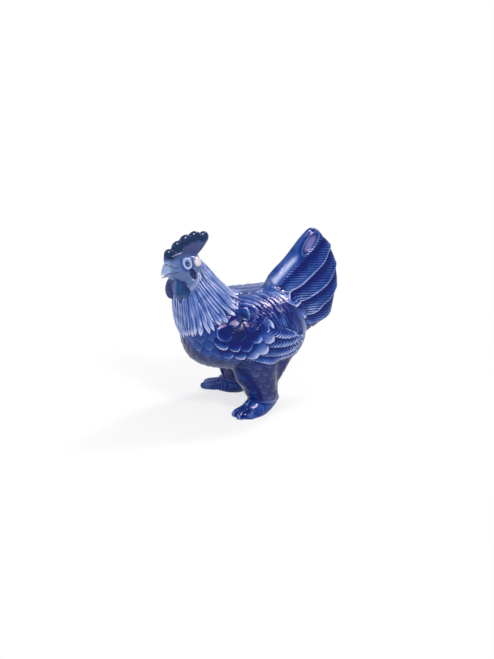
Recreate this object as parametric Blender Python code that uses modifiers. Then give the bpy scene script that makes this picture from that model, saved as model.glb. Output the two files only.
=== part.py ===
"""Hen figurine, cast and glazed in one piece.

The hen looks along -X and stands on Z = 0, and its left side is on -Y. The soft forms, such as
the breast, neck, tail and thighs, are lofts that are fused and smoothed. The comb, beak, wattles
and toes are fused on, the feathers are then raised on the fused surface, and the soles are cut flat.
"""

import math

import bmesh
import bpy
import numpy as np
from mathutils import Matrix, Vector

MM = 0.001

LEG_LENGTH = 22.2 * MM  # from the ground to the belly
STANCE = 34 * MM  # between the middles of the legs
THIGH_WIDTH = 25 * MM
ANKLE_WIDTH = 18 * MM
TOE_LENGTH = 19.6 * MM
TOE_WIDTH = 7 * MM
TOE_HEIGHT = 4.2 * MM
FOOT_SPLAY = math.radians(34)  # how far the middle toes turn out, on average
FOOT_TWIST = math.radians(17)  # by which the right foot turns out further and the left one less
TOE_SPREAD = math.radians(16)  # between one toe and the next
TOE_UNLIKE = 0.09  # by how much of its length a right toe is longer, and a left one shorter
WEB_RISE = 0.72  # height of the web between the toes, as a share of theirs

BODY_LENGTH = 80 * MM
BODY_WIDTH = 56 * MM
BODY_DEPTH = 46.6 * MM
NECK_LENGTH = 40.5 * MM
NECK_LEAN = math.radians(18)  # of the neck's axis, forward of upright
NECK_WIDTH = 21 * MM  # just under the head
CAPE_WIDTH = 43 * MM  # where the neck feathers end on the shoulders

HEAD_LENGTH = 18.4 * MM
HEAD_WIDTH = 19.5 * MM
HEAD_HEIGHT = 18 * MM
BEAK_LENGTH = 5.6 * MM
EYE_SIZE = 6.4 * MM
EYE_LIFT = 0.9 * MM
EARLOBE_SIZE = 6.2 * MM
EARLOBE_LIFT = 1.3 * MM
EAR_SIZE = 7.6 * MM  # height of the slot below the eye
EAR_DEPTH = 1.2 * MM
COMB_LENGTH = 26 * MM
COMB_HEIGHT = 11 * MM
COMB_THICKNESS = 3.8 * MM
COMB_LOBES = 5
LOBE_SIZE = 7.6 * MM
WATTLE_LENGTH = 13.5 * MM
WATTLE_WIDTH = 8.8 * MM
WATTLE_THICKNESS = 4.2 * MM
WATTLE_SHIFT = 1.6 * MM  # by which the left wattle hangs higher than the mean, and the right one lower

TAIL_LENGTH = 53.5 * MM
TAIL_DEPTH = 54 * MM  # from the top feather to the lowest
TAIL_ROOT_WIDTH = 19 * MM
TAIL_TIP_WIDTH = 5 * MM
TAIL_PITCH = math.radians(40)  # above level
TAIL_FEATHERS = 6

WING_LENGTH = 52 * MM
WING_DEPTH = 34 * MM  # round the side, from the shoulder to the lowest quill
WING_LIFT = 1.0 * MM  # how far the folded wing stands off the side
WING_QUILLS = 4

HACKLE_WIDTH = 5 * MM  # of a neck feather
SADDLE_WIDTH = 5.6 * MM  # of a feather on the back
SCALE_WIDTH = 8 * MM  # of a breast feather
SCALE_ROW = 5.2 * MM  # from one row of breast feathers to the next
THIGH_SCALE = 6.5 * MM
BREAST_ROWS = 6
THIGH_ROWS = 5
SADDLE_LAYERS = 3
SADDLE_FEATHERS = 7  # in the lowest layer
FEATHER_LIFT = 0.8 * MM  # at a feather's free edge
FEATHER_CROWN = 0.45 * MM  # a feather's middle above its sides
EDGE_BLEND = 0.5 * MM  # over which a feather's edge falls
MASK_BLEND = 2 * MM  # over which one kind of plumage gives way to another

SOFT_GRID = 0.0011
FINE_GRID = 0.0007
SOFT_PASSES = 14
TRIANGLES = 11400

BODY_CENTRE = Vector((0, 0, LEG_LENGTH + BODY_DEPTH / 2))
NECK_FOOT = BODY_CENTRE + Vector((-0.31 * BODY_LENGTH, 0, 0.06 * BODY_DEPTH))
NECK_UP = Vector((-math.sin(NECK_LEAN), 0, math.cos(NECK_LEAN)))
NECK_FORWARD = Vector((-math.cos(NECK_LEAN), 0, -math.sin(NECK_LEAN)))
HEAD_CENTRE = NECK_FOOT + NECK_LENGTH * NECK_UP
TAIL_FOOT = BODY_CENTRE + Vector((0.22 * BODY_LENGTH, 0, 0.05 * BODY_DEPTH))
TAIL_OUT = Vector((math.cos(TAIL_PITCH), 0, math.sin(TAIL_PITCH)))
TAIL_UP = Vector((-math.sin(TAIL_PITCH), 0, math.cos(TAIL_PITCH)))


def through(rows, count):
    """Values on a smooth curve through the rows, at even steps of row number."""
    rows = np.asarray(rows, float)
    ends = np.vstack([2 * rows[0] - rows[1], rows, 2 * rows[-1] - rows[-2]])
    place = np.linspace(0, len(rows) - 1, count)
    start = np.minimum(place.astype(int), len(rows) - 2)
    f = (place - start)[:, None]
    a, b, c, d = (ends[start + k] for k in range(4))
    return 0.5 * (2 * b + (c - a) * f + (2 * a - 5 * b + 4 * c - d) * f**2 + (3 * b - a - 3 * c + d) * f**3)


def loft(name, stations, up, rings=48, sides=56):
    """A closed skin over sections that stand across the XZ plane.

    A station is x, z, half width, reach along up, reach against up, and the section's
    squareness, where 2 is an ellipse.
    """
    rows = through(stations, rings)
    turn = np.linspace(0, 2 * math.pi, sides, endpoint=False)
    across, along = np.cos(turn), np.sin(turn)
    least = 0.02 * MM
    power = (2 / rows[:, 5])[:, None]
    wide = np.maximum(rows[:, 2], least)[:, None] * np.sign(across) * np.abs(across) ** power
    reach = np.where(along >= 0, np.maximum(rows[:, 3:4], least), np.maximum(rows[:, 4:5], least))
    tall = reach * np.sign(along) * np.abs(along) ** power
    x = rows[:, 0:1] + up.x * tall
    z = rows[:, 1:2] + up.z * tall
    skin = bmesh.new()
    loops = [[skin.verts.new(p) for p in zip(*ring)] for ring in zip(x, wide, z)]
    for lower, upper in zip(loops, loops[1:]):
        for k in range(sides):
            skin.faces.new((lower[k], lower[k - 1], upper[k - 1], upper[k]))
    skin.faces.new(loops[0])
    skin.faces.new(loops[-1][::-1])
    bmesh.ops.recalc_face_normals(skin, faces=skin.faces)
    return finished(name, skin)


def finished(name, skin):
    mesh = bpy.data.meshes.new(name)
    skin.to_mesh(mesh)
    skin.free()
    obj = bpy.data.objects.new(name, mesh)
    bpy.context.scene.collection.objects.link(obj)
    return obj


def limb(name, stations):
    """A round limb: a curve that swells and thins from one x, y, z, radius to the next."""
    curve = bpy.data.curves.new(name, "CURVE")
    curve.dimensions = "3D"
    curve.bevel_depth = 1.0
    curve.bevel_resolution = 5
    curve.use_fill_caps = True
    spline = curve.splines.new("POLY")
    rows = through(stations, 5 * len(stations))
    spline.points.add(len(rows) - 1)
    for point, (x, y, z, radius) in zip(spline.points, rows):
        point.co = (x, y, z, 1)
        point.radius = radius
    return bpy.data.objects.new(name, curve)


def as_mesh(obj):
    """The object's evaluated mesh in a new object, which takes the old one's place."""
    if obj.name not in bpy.context.scene.collection.objects:
        bpy.context.scene.collection.objects.link(obj)
    bpy.context.view_layer.update()
    graph = bpy.context.evaluated_depsgraph_get()
    mesh = bpy.data.meshes.new_from_object(obj.evaluated_get(graph))
    skin = bmesh.new()
    skin.from_mesh(mesh)
    bmesh.ops.remove_doubles(skin, verts=skin.verts, dist=0.001 * MM)
    bmesh.ops.transform(skin, matrix=obj.matrix_world, verts=skin.verts)
    name = obj.name
    bpy.data.objects.remove(obj)
    return finished(name, skin)


def pebble(name, centre, size, turn=0.0):
    """A ball stretched to a size, turned about Y."""
    skin = bmesh.new()
    bmesh.ops.create_uvsphere(skin, u_segments=24, v_segments=16, radius=0.5)
    bmesh.ops.scale(skin, vec=size, verts=skin.verts)
    bmesh.ops.rotate(skin, cent=(0, 0, 0), matrix=Matrix.Rotation(turn, 3, "Y"), verts=skin.verts)
    bmesh.ops.translate(skin, vec=centre, verts=skin.verts)
    return finished(name, skin)


def fused(name, pieces, grid, passes):
    """One skin round all the pieces, rebuilt on an even grid and smoothed."""
    skin = bmesh.new()
    for piece in pieces:
        skin.from_mesh(piece.data)
        bpy.data.objects.remove(piece)
    whole = finished(name, skin)
    remesh = whole.modifiers.new("fuse", "REMESH")
    remesh.mode = "VOXEL"
    remesh.voxel_size = grid
    smooth = whole.modifiers.new("soften", "SMOOTH")
    smooth.factor = 0.5
    smooth.iterations = passes
    return as_mesh(whole)


def body():
    """The egg of the breast and belly, with its wide end forward."""
    x, width, depth = BODY_LENGTH / 2, BODY_WIDTH / 2, BODY_DEPTH / 2
    rows = [
        (-0.96, 0.12, 0.20, 0.26, 0.30, 2.0),
        (-0.89, 0.10, 0.50, 0.60, 0.60, 2.0),
        (-0.71, 0.08, 0.77, 0.88, 0.81, 2.1),
        (-0.36, 0.02, 0.97, 1.00, 0.89, 2.2),
        (0.00, 0.00, 1.00, 1.00, 0.90, 2.3),
        (0.36, 0.00, 0.92, 0.98, 0.94, 2.2),
        (0.62, 0.00, 0.72, 0.88, 0.90, 2.1),
        (0.80, -0.04, 0.46, 0.62, 0.62, 2.0),
        (0.90, -0.06, 0.14, 0.22, 0.22, 2.0),
    ]
    stations = [
        (BODY_CENTRE.x + a * x, BODY_CENTRE.z + b * depth, c * width, d * depth, e * depth, f)
        for a, b, c, d, e, f in rows
    ]
    return loft("body", stations, Vector((0, 0, 1)), rings=64, sides=64)


def neck():
    """From under the comb to the shoulders, where it spreads into the cape."""
    narrow, wide = NECK_WIDTH / 2, CAPE_WIDTH / 2
    rows = [
        (1.10, 0.00, 0.55, 0.45, 0.55),
        (1.00, 0.00, 0.80, 0.66, 0.92),
        (0.84, 0.08, 0.98, 0.76, 1.11),
        (0.64, 0.30, 1.08, 0.78, 1.14),
        (0.42, 0.60, 1.12, 0.76, 1.17),
        (0.20, 0.88, 1.08, 0.71, 1.12),
        (0.02, 1.00, 1.00, 0.66, 0.98),
        (-0.16, 1.00, 0.90, 0.60, 0.70),
    ]
    stations = []
    for along, spread, side, front, back in rows:
        radius = narrow + (wide - narrow) * spread
        middle = NECK_FOOT + along * NECK_LENGTH * NECK_UP
        stations.append((middle.x, middle.z, side * radius, front * radius, back * radius, 2.1))
    return loft("neck", stations, NECK_FORWARD, rings=56, sides=64)


def tail():
    """The fan of the tail: a plate that thins from the rump to its rounded rim."""
    thick, thin, half = TAIL_ROOT_WIDTH / 2, TAIL_TIP_WIDTH / 2, TAIL_DEPTH / 2
    rows = [
        (-0.08, 1.00, 0.20, -0.60),
        (0.06, 0.98, 0.56, -0.72),
        (0.19, 0.84, 0.80, -0.78),
        (0.34, 0.66, 0.87, -0.84),
        (0.48, 0.50, 0.88, -0.92),
        (0.60, 0.38, 0.91, -0.78),
        (0.72, 0.28, 0.95, -0.60),
        (0.84, 0.16, 0.98, -0.36),
        (0.94, 0.06, 0.97, -0.02),
        (0.99, 0.00, 0.84, 0.30),
        (1.00, -0.20, 0.52, 0.32),
    ]
    stations = []
    for along, swell, top, bottom in rows:
        middle = TAIL_FOOT + along * TAIL_LENGTH * TAIL_OUT + (top + bottom) / 2 * half * TAIL_UP
        reach = (top - bottom) / 2 * half
        stations.append((middle.x, middle.z, thin + (thick - thin) * swell, reach, reach, 2.2))
    return loft("tail", stations, TAIL_UP, rings=48, sides=56)


def ankle(side):
    return Vector((BODY_CENTRE.x + 0.02 * BODY_LENGTH, side * STANCE / 2, 0))


def splay(side):
    return FOOT_SPLAY + side * FOOT_TWIST


def leg(side):
    """One feathered thigh, down to the ankle."""
    y, x = side * STANCE / 2, BODY_CENTRE.x
    foot, knee = ANKLE_WIDTH / 2, THIGH_WIDTH / 2
    return limb(
        "leg",
        [
            (x - 0.02 * BODY_LENGTH, 0.84 * y, LEG_LENGTH + 0.36 * BODY_DEPTH, 0.90 * knee),
            (x - 0.02 * BODY_LENGTH, 0.90 * y, 1.20 * LEG_LENGTH, 1.04 * knee),
            (x, 0.96 * y, 0.86 * LEG_LENGTH, 0.86 * knee),
            (x + 0.015 * BODY_LENGTH, y, 0.60 * LEG_LENGTH, 1.02 * foot),
            (x + 0.035 * BODY_LENGTH, y, 0.42 * LEG_LENGTH, 0.96 * foot),
            (x + 0.035 * BODY_LENGTH, y, 0.26 * LEG_LENGTH, 0.60 * foot),
        ],
    )


def fluff(side):
    """The soft feathers behind a thigh, which run from the rump down to the hock."""
    y, x = side * STANCE / 2, BODY_CENTRE.x
    knee = THIGH_WIDTH / 2
    return limb(
        "fluff",
        [
            (x + 0.19 * BODY_LENGTH, 0.60 * y, LEG_LENGTH + 0.24 * BODY_DEPTH, 0.76 * knee),
            (x + 0.12 * BODY_LENGTH, 0.76 * y, 1.12 * LEG_LENGTH, 0.66 * knee),
            (x + 0.07 * BODY_LENGTH, 0.92 * y, 0.80 * LEG_LENGTH, 0.52 * knee),
            (x + 0.072 * BODY_LENGTH, y, 0.53 * LEG_LENGTH, 0.48 * knee),
        ],
    )


def toe(side, turn, length, rise=1.0):
    """One toe on the ground, from the ankle outwards. The angle is measured from straight ahead."""
    ahead = Vector((-math.cos(turn), side * math.sin(turn), 0))
    rows = [(0.0, 1.60, 1.30), (0.30, 1.12, 1.10), (0.62, 0.64, 0.94), (0.88, 0.44, 0.76), (1.0, 0.38, 0.46)]
    stations = []
    for along, height, width in rows:
        spot = ankle(side) + along * length * ahead
        stations.append((spot.x, spot.y, rise * height * TOE_HEIGHT, width * TOE_WIDTH / 2))
    return limb("toe", stations)


def heel(side):
    """The raised heel behind the ankle, and the wedge of the foot down from it to the toes."""
    ahead = Vector((-math.cos(splay(side)), side * math.sin(splay(side)), 0))
    rows = [
        (-0.56, 1.65, 0.85),
        (-0.38, 1.65, 1.35),
        (-0.10, 1.40, 1.80),
        (0.23, 0.95, 1.90),
        (0.50, 0.60, 1.60),
    ]
    stations = []
    for along, height, width in rows:
        spot = ankle(side) + along * TOE_LENGTH * ahead
        stations.append((spot.x, spot.y, height * TOE_HEIGHT, width * TOE_WIDTH / 2))
    return limb("heel", stations)


def head():
    """The skull and the beak in one taper, bent down at the tip."""
    c, half, tall = HEAD_CENTRE, HEAD_WIDTH / 2, HEAD_HEIGHT / 2
    stations = [
        (c.x + 0.50 * HEAD_LENGTH, c.z - 0.02 * tall, 0.30 * half, 0.30 * tall, 0.40 * tall, 2.0),
        (c.x + 0.36 * HEAD_LENGTH, c.z, 0.80 * half, 0.80 * tall, 1.00 * tall, 2.0),
        (c.x + 0.08 * HEAD_LENGTH, c.z, 1.00 * half, 0.95 * tall, 1.20 * tall, 2.2),
        (c.x - 0.22 * HEAD_LENGTH, c.z, 0.98 * half, 0.85 * tall, 1.05 * tall, 2.2),
        (c.x - 0.44 * HEAD_LENGTH, c.z, 0.76 * half, 0.72 * tall, 0.74 * tall, 2.1),
    ]
    front = c.x - 0.44 * HEAD_LENGTH
    stations += [
        (front - 0.30 * BEAK_LENGTH, c.z, 0.52 * half, 0.50 * tall, 0.56 * tall, 2.0),
        (front - 0.62 * BEAK_LENGTH, c.z - 0.14 * tall, 0.34 * half, 0.36 * tall, 0.40 * tall, 2.0),
        (front - 0.88 * BEAK_LENGTH, c.z - 0.38 * tall, 0.17 * half, 0.24 * tall, 0.22 * tall, 2.0),
        (front - 1.00 * BEAK_LENGTH, c.z - 0.54 * tall, 0.06 * half, 0.10 * tall, 0.06 * tall, 2.0),
    ]
    return loft("head", stations, Vector((0, 0, 1)), rings=48, sides=40)


def comb():
    """The comb's blade and its row of round lobes, over the head."""
    base = HEAD_CENTRE + Vector((0, 0, 0.42 * HEAD_HEIGHT))
    half = COMB_THICKNESS / 2
    rows = [
        (-0.44, -0.235, 0.70, 0.20, 0.22),
        (-0.33, -0.18, 0.95, 0.32, 0.36),
        (-0.19, -0.05, 1.00, 0.45, 0.50),
        (0.00, 0.14, 1.00, 0.58, 0.64),
        (0.23, 0.27, 1.00, 0.50, 0.54),
        (0.40, 0.41, 0.95, 0.32, 0.32),
        (0.51, 0.55, 0.70, 0.10, 0.10),
    ]
    stations = [
        (base.x + a * COMB_LENGTH, base.z + b * COMB_HEIGHT, c * half, d * COMB_HEIGHT, e * COMB_HEIGHT, 2.6)
        for a, b, c, d, e in rows
    ]
    pieces = [loft("blade", stations, Vector((0, 0, 1)), rings=32, sides=28)]
    for lobe in range(COMB_LOBES):
        f = lobe / (COMB_LOBES - 1)
        x = base.x + (-0.318 + 0.752 * f) * COMB_LENGTH
        z = base.z + (-0.04 + 0.75 * math.sin(0.62 * math.pi * f)) * COMB_HEIGHT
        size = (LOBE_SIZE * (0.86 + 0.24 * math.sin(math.pi * f)), COMB_THICKNESS * 1.12, LOBE_SIZE)
        pieces.append(pebble("lobe", (x, 0, z), size, turn=-0.5 + 0.9 * f))
    return pieces


def wattle_centre(side):
    top = HEAD_CENTRE + Vector((-0.26 * HEAD_LENGTH, side * 0.24 * HEAD_WIDTH, -0.30 * HEAD_HEIGHT))
    return top + Vector((0, side * 0.08 * WATTLE_LENGTH, -0.45 * WATTLE_LENGTH - side * WATTLE_SHIFT))


def wattle(side):
    """One flat lappet that hangs beside the throat."""
    return pebble("wattle", wattle_centre(side), (WATTLE_WIDTH, WATTLE_THICKNESS, WATTLE_LENGTH), turn=0.12)


def off_wattles(points):
    """1 away from the wattles, and 0 on them."""
    size = np.array([WATTLE_WIDTH, WATTLE_THICKNESS, WATTLE_LENGTH]) / 2
    least = np.full(len(points), 9.0)
    for side in (-1, 1):
        least = np.minimum(least, np.linalg.norm((points - np.array(wattle_centre(side))) / size, axis=1))
    return step((least - 1.12) / 0.25)


def step(value):
    """A smooth rise from 0 to 1."""
    value = np.clip(value, 0, 1)
    return value * value * (3 - 2 * value)


def row(down, across, tips, pitch, length, shift, point, lift=FEATHER_LIFT, crown=FEATHER_CROWN):
    """Heights of a row of like feathers, side by side, whose ends lie at down = tips.

    shift moves the row sideways, in feathers. point is how much sooner a feather ends at its
    sides than in its middle.
    """
    cell = across / pitch - shift
    q = np.abs(2 * (cell - np.round(cell)))
    t = 1 - (tips - down) / length
    left = (1 - t) * length - point * q**2
    inside = step(left / EDGE_BLEND) * step((1 - q) * pitch / 2 / EDGE_BLEND) * step(t / 0.2)
    return inside * (lift * np.clip(t, 0, 1) + crown * (1 - q * q))


def feather(u, v, root, bend, tip, width, point=0.5, level=0.0, lift=FEATHER_LIFT, tilt=0.0):
    """Heights of one feather whose middle line is a curve from root to tip, drawn towards bend.

    point is the share of the length over which it narrows to the tip. tilt raises the side that
    lies to the right of the middle line and lowers the other.
    """
    root, bend, tip = (np.array(place) for place in (root, bend, tip))
    f = np.linspace(0, 1, 25)[:, None]
    line = (1 - f) ** 2 * root + 2 * f * (1 - f) * bend + f**2 * tip
    reach = width
    near = (u > line[:, 0].min() - reach) & (u < line[:, 0].max() + reach)
    near &= (v > line[:, 1].min() - reach) & (v < line[:, 1].max() + reach)
    heights = np.zeros(len(u))
    if not near.any():
        return heights
    places = np.stack([u[near], v[near]], 1)
    apart = ((places[:, None] - line[None, :-1]) ** 2).sum(2)
    start = apart.argmin(1)
    run = line[start + 1] - line[start]
    size = np.hypot(run[:, 0], run[:, 1])
    gap = places - line[start]
    t = (start + (gap * run).sum(1) / size**2) / (len(line) - 1)
    across = (run[:, 0] * gap[:, 1] - run[:, 1] * gap[:, 0]) / size
    taper = np.clip((t - 1 + point) / point, 0, 1.5)
    half = width / 2 * np.sqrt(np.clip(1 - taper**2, 0, 1)) - width * np.clip(taper - 1, 0, 1)
    q = across / (width / 2)
    inside = step((half - np.abs(across)) / EDGE_BLEND) * step(t / 0.12)
    rise = lift * np.clip(t, 0, 1) + FEATHER_CROWN * (1 - q * q) + tilt * q
    heights[near] = inside * (level + rise)
    return heights


def neck_heights(down, turn):
    """Two overlapping rows of long pointed neck feathers. down runs from the head, turn from the front."""
    edge = [(0, 0.86), (40, 0.86), (80, 0.86), (94, 0.84), (124, 0.73), (140, 0.69), (180, 0.64)]
    angles, shares = zip(*edge)
    hem = np.interp(turn, np.radians(angles), shares) * NECK_LENGTH
    around = 0.4 * turn * CAPE_WIDTH
    heights = np.zeros(len(down))
    for k, share in enumerate((1.0, 0.66)):
        lift, point = FEATHER_LIFT * (1 - 0.3 * k), 1.6 * HACKLE_WIDTH
        rise = row(down, around, hem * share, HACKLE_WIDTH, NECK_LENGTH, 0.5 * k, point, lift)
        heights = np.maximum(heights, rise)
    return heights, step((hem - down) / EDGE_BLEND)


def breast_heights(down, turn):
    """Rows of round scales that go on below the neck feathers."""
    around = turn * BODY_WIDTH / 2
    heights = np.zeros(len(down))
    for k in range(BREAST_ROWS):
        tip = 0.86 * NECK_LENGTH + (k + 0.85) * SCALE_ROW
        rise = row(down, around, tip, SCALE_WIDTH, 1.7 * SCALE_ROW, 0.5 * (k % 2), 0.36 * SCALE_WIDTH)
        heights = np.maximum(heights, rise)
    return heights


def wing_heights(x, girth):
    """The folded wing: quills along its lower edge, and coverts in overlapping scales at the shoulder."""
    start = BODY_CENTRE.x - 0.345 * BODY_LENGTH
    top = 0.43 * BODY_WIDTH
    coverts = [
        (0.048, 0.65, 0.20, 0.84, 0.20, 0.0),
        (0.144, 0.72, 0.375, 0.83, 0.19, 0.0),
        (0.298, 0.65, 0.51, 0.73, 0.205, 0.1),
        (0.356, 0.50, 0.572, 0.56, 0.215, 0.2),
        (0.394, 0.32, 0.580, 0.40, 0.205, 0.3),
        (0.048, 0.47, 0.048, 0.69, 0.22, 0.2),
        (0.144, 0.41, 0.154, 0.65, 0.24, 0.3),
        (0.260, 0.41, 0.269, 0.66, 0.25, 0.4),
        (0.394, 0.17, 0.423, 0.47, 0.22, 0.5),
        (0.279, 0.17, 0.269, 0.47, 0.27, 0.6),
        (0.125, 0.20, 0.106, 0.50, 0.25, 0.6),
        (0.337, 0.00, 0.327, 0.28, 0.20, 0.7),
        (0.279, 0.00, 0.202, 0.28, 0.24, 0.8),
    ]
    heights = np.zeros(len(x))

    def lay(root, tip, width, point, level, tilt, sag):
        u = [start + a * WING_LENGTH for a in (root[0], (root[0] + tip[0]) / 2, tip[0])]
        v = [top + b * WING_DEPTH for b in (root[1], (root[1] + tip[1]) / 2 + sag, tip[1])]
        rise = feather(x, girth, (u[0], v[0]), (u[1], v[1]), (u[2], v[2]), width, point, level, tilt=tilt)
        np.maximum(heights, rise, out=heights)

    for k in range(WING_QUILLS):
        f = k / (WING_QUILLS - 1)
        root = (0.53 - 0.27 * f**3, 0.41 + 0.415 * f)
        tip = (0.94 + 0.24 * f * (1 - f) - 0.04 * f, 0.57 + 0.40 * f)
        width = 0.76 * WING_DEPTH / WING_QUILLS
        lay(root, tip, width, 0.45, WING_LIFT * (1 - 0.45 * f), 0.45 * FEATHER_LIFT, 0.03)
    for a, b, c, d, width, level in coverts:
        lay((a, b), (c, d), width * WING_DEPTH, 0.42, WING_LIFT * (0.7 + level), 0.0, 0.0)
    return heights


def saddle_heights(x, girth):
    """Pointed feathers that sweep back from the cape and turn down over the wing and the rump."""
    heights = np.zeros(len(x))
    for layer in range(SADDLE_LAYERS):
        for k in range(SADDLE_FEATHERS - layer):
            f = (k + 0.5 * (layer % 2)) / (SADDLE_FEATHERS - 1)
            share = 1 - 0.27 * layer
            root = np.array([-0.15 + 0.33 * f, 0.38 - 0.40 * f])
            tip = np.array([-0.04 + 0.37 * f, 0.64 + 0.10 * f + 0.14 * f * f])
            bend = np.array([0.35 * root[0] + 0.65 * tip[0] + 0.05, 0.75 * root[1] + 0.25 * tip[1]])
            end = root + (tip - root) * share
            middle = root + (bend - root) * share
            places = [(BODY_CENTRE.x + a * BODY_LENGTH, b * BODY_WIDTH) for a, b in (root, middle, end)]
            level = WING_LIFT * (0.20 + 0.12 * layer)
            under = feather(x, girth, *places, 1.6 * SADDLE_WIDTH, 0.5, level, 0.0)
            over = feather(x, girth, *places, SADDLE_WIDTH, 0.5, level)
            np.maximum(heights, np.maximum(under, over), out=heights)
    return heights


def tail_heights(out, up):
    """The tail's fan: each feather overlaps the next one down. out and up are measured from its foot."""
    half = TAIL_DEPTH / 2
    heights = np.zeros(len(out))
    for k in range(TAIL_FEATHERS):
        f = k / (TAIL_FEATHERS - 1)
        root = ((0.17 - 0.06 * f) * TAIL_LENGTH, (0.74 - 1.10 * f) * half)
        bend = ((0.55 - 0.20 * f) * TAIL_LENGTH, (0.80 - 1.45 * f) * half)
        tip = ((1.02 - 0.38 * f**1.7) * TAIL_LENGTH, (0.82 - 1.62 * f) * half)
        width = 2.15 * half / TAIL_FEATHERS
        level, tilt = FEATHER_LIFT * (0.9 - 0.5 * f), -0.5 * FEATHER_LIFT
        rise = feather(out, up, root, bend, tip, width, 0.16, level, 0.0, tilt)
        np.maximum(heights, rise, out=heights)
    return heights


def thigh_heights(x, z):
    """Faint scales on the thighs."""
    lift, crown = 0.45 * FEATHER_LIFT, 0.4 * FEATHER_CROWN
    heights = np.zeros(len(x))
    for k in range(THIGH_ROWS):
        tip = -0.9 * LEG_LENGTH + (k - 1) * 0.62 * THIGH_SCALE
        rise = row(-z, x, tip, THIGH_SCALE, THIGH_SCALE, 0.5 * (k % 2), 0.4 * THIGH_SCALE, lift, crown)
        heights = np.maximum(heights, rise)
    return heights


def face_heights(x, z):
    """The eye in its ring, the earlobe, and the ear's hollow."""

    def spot(ahead, above, wide, tall, turn=0.0):
        du, dv = x - HEAD_CENTRE.x + ahead * HEAD_LENGTH, z - HEAD_CENTRE.z - above * HEAD_HEIGHT
        c, s = math.cos(turn), math.sin(turn)
        return np.hypot((du * c + dv * s) / wide, (dv * c - du * s) / tall)

    eye = spot(0.17, 0.22, EYE_SIZE / 2, EYE_SIZE / 2)
    lobe = spot(-0.22, 0.22, EARLOBE_SIZE / 2, 1.05 * EARLOBE_SIZE / 2)
    ear = spot(-0.03, -0.13, EAR_SIZE / 4, EAR_SIZE / 2, 0.35)
    heights = EYE_LIFT * np.exp(-(((eye - 0.95) / 0.28) ** 2))
    heights += EYE_LIFT * (1 - step((eye - 0.2) / 0.5))
    heights += EARLOBE_LIFT * (1 - step((lobe - 0.4) / 0.7))
    return heights - EAR_DEPTH * (1 - step((ear - 0.5) / 0.7))


def feathered(obj):
    """Raises the feathers on the plain skin, along its normals."""
    mesh = obj.data
    count = len(mesh.vertices)
    points, normals = np.empty(count * 3), np.empty(count * 3)
    mesh.vertices.foreach_get("co", points)
    mesh.vertices.foreach_get("normal", normals)
    points, normals = points.reshape(-1, 3), normals.reshape(-1, 3)
    x, z = points[:, 0], points[:, 2]
    side = np.abs(points[:, 1])

    from_head = points - np.array(HEAD_CENTRE)
    down = -from_head @ np.array(NECK_UP)
    ahead = from_head @ np.array(NECK_FORWARD)
    turn = np.arctan2(side, ahead)
    from_tail = points - np.array(TAIL_FOOT)
    out, up = from_tail @ np.array(TAIL_OUT), from_tail @ np.array(TAIL_UP)
    girth = np.arctan2(side, z - BODY_CENTRE.z) * BODY_WIDTH / 2

    on_tail = step((out - 0.20 * TAIL_LENGTH) / (0.05 * TAIL_LENGTH))
    on_tail = on_tail * step((0.30 * BODY_WIDTH - side) / MASK_BLEND)
    near_neck = np.hypot(ahead, side) < 0.62 * CAPE_WIDTH + 0.1 * np.maximum(down, 0)
    hackles, cape = neck_heights(down, turn)
    face_edge = 0.29 * NECK_LENGTH * (0.25 + 0.75 * step((2.0 - turn) / 1.4))
    cape = cape * near_neck * (out < 0.1 * TAIL_LENGTH)
    bare = 1 - step((down - face_edge) / (0.5 * MASK_BLEND))
    on_leg = step((1.12 * LEG_LENGTH - z) / MASK_BLEND) * step((z - 0.45 * LEG_LENGTH) / MASK_BLEND)
    on_breast = (x < BODY_CENTRE.x - 0.12 * BODY_LENGTH) * (1 - on_leg)

    breast = breast_heights(down, turn) * on_breast
    wing = np.maximum(wing_heights(x, girth), saddle_heights(x, girth)) * (z > LEG_LENGTH) * (1 - on_tail)
    trunk = np.where(wing > 0.4 * FEATHER_LIFT, wing, np.maximum(wing, breast))
    neck_part = np.maximum(hackles, 0.5 * FEATHER_LIFT) * cape * (1 - bare)
    heights = np.maximum(trunk * (1 - cape), neck_part)
    heights = np.maximum(heights, tail_heights(out, up) * on_tail)
    heights = np.maximum(heights, thigh_heights(x, z) * on_leg)
    below_comb = step((HEAD_CENTRE.z + 0.3 * HEAD_HEIGHT - z) / MASK_BLEND)
    heights *= step((z - 0.42 * LEG_LENGTH) / MASK_BLEND) * np.where(x > 0, 1, below_comb)
    heights -= 0.7 * FEATHER_LIFT * (z > 0.4 * LEG_LENGTH) * np.where(x > 0, 1, 1 - bare) * (heights > 0)
    heights += face_heights(x, z) * (side > 0.2 * HEAD_WIDTH) * (z > HEAD_CENTRE.z - HEAD_HEIGHT)
    points += normals * (heights * off_wattles(points))[:, None]
    mesh.vertices.foreach_set("co", points.ravel())
    mesh.update()


def base_skin():
    """The hen without its feathers."""
    soft = [body(), neck(), tail()]
    soft += [as_mesh(make(side)) for make in (leg, fluff) for side in (-1, 1)]
    trunk = fused("trunk", soft, SOFT_GRID, SOFT_PASSES)
    crisp = [head()] + comb()
    # A toe's place in the fan, its share of the longest toe's length, and its rise. Webs lie between toes.
    toes = [(-1, 1.0, 1.0), (-0.5, 0.92, WEB_RISE), (0, 1.0, 1.0), (0.5, 0.80, WEB_RISE), (1, 0.77, 1.0)]
    for side in (-1, 1):
        crisp.append(wattle(side))
        longest = TOE_LENGTH * (1 + TOE_UNLIKE * side)
        for place, share, rise in toes:
            crisp.append(as_mesh(toe(side, splay(side) + place * TOE_SPREAD, longest * share, rise)))
        crisp.append(as_mesh(heel(side)))
    return fused("skin", [trunk] + crisp, FINE_GRID, 2)


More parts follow.
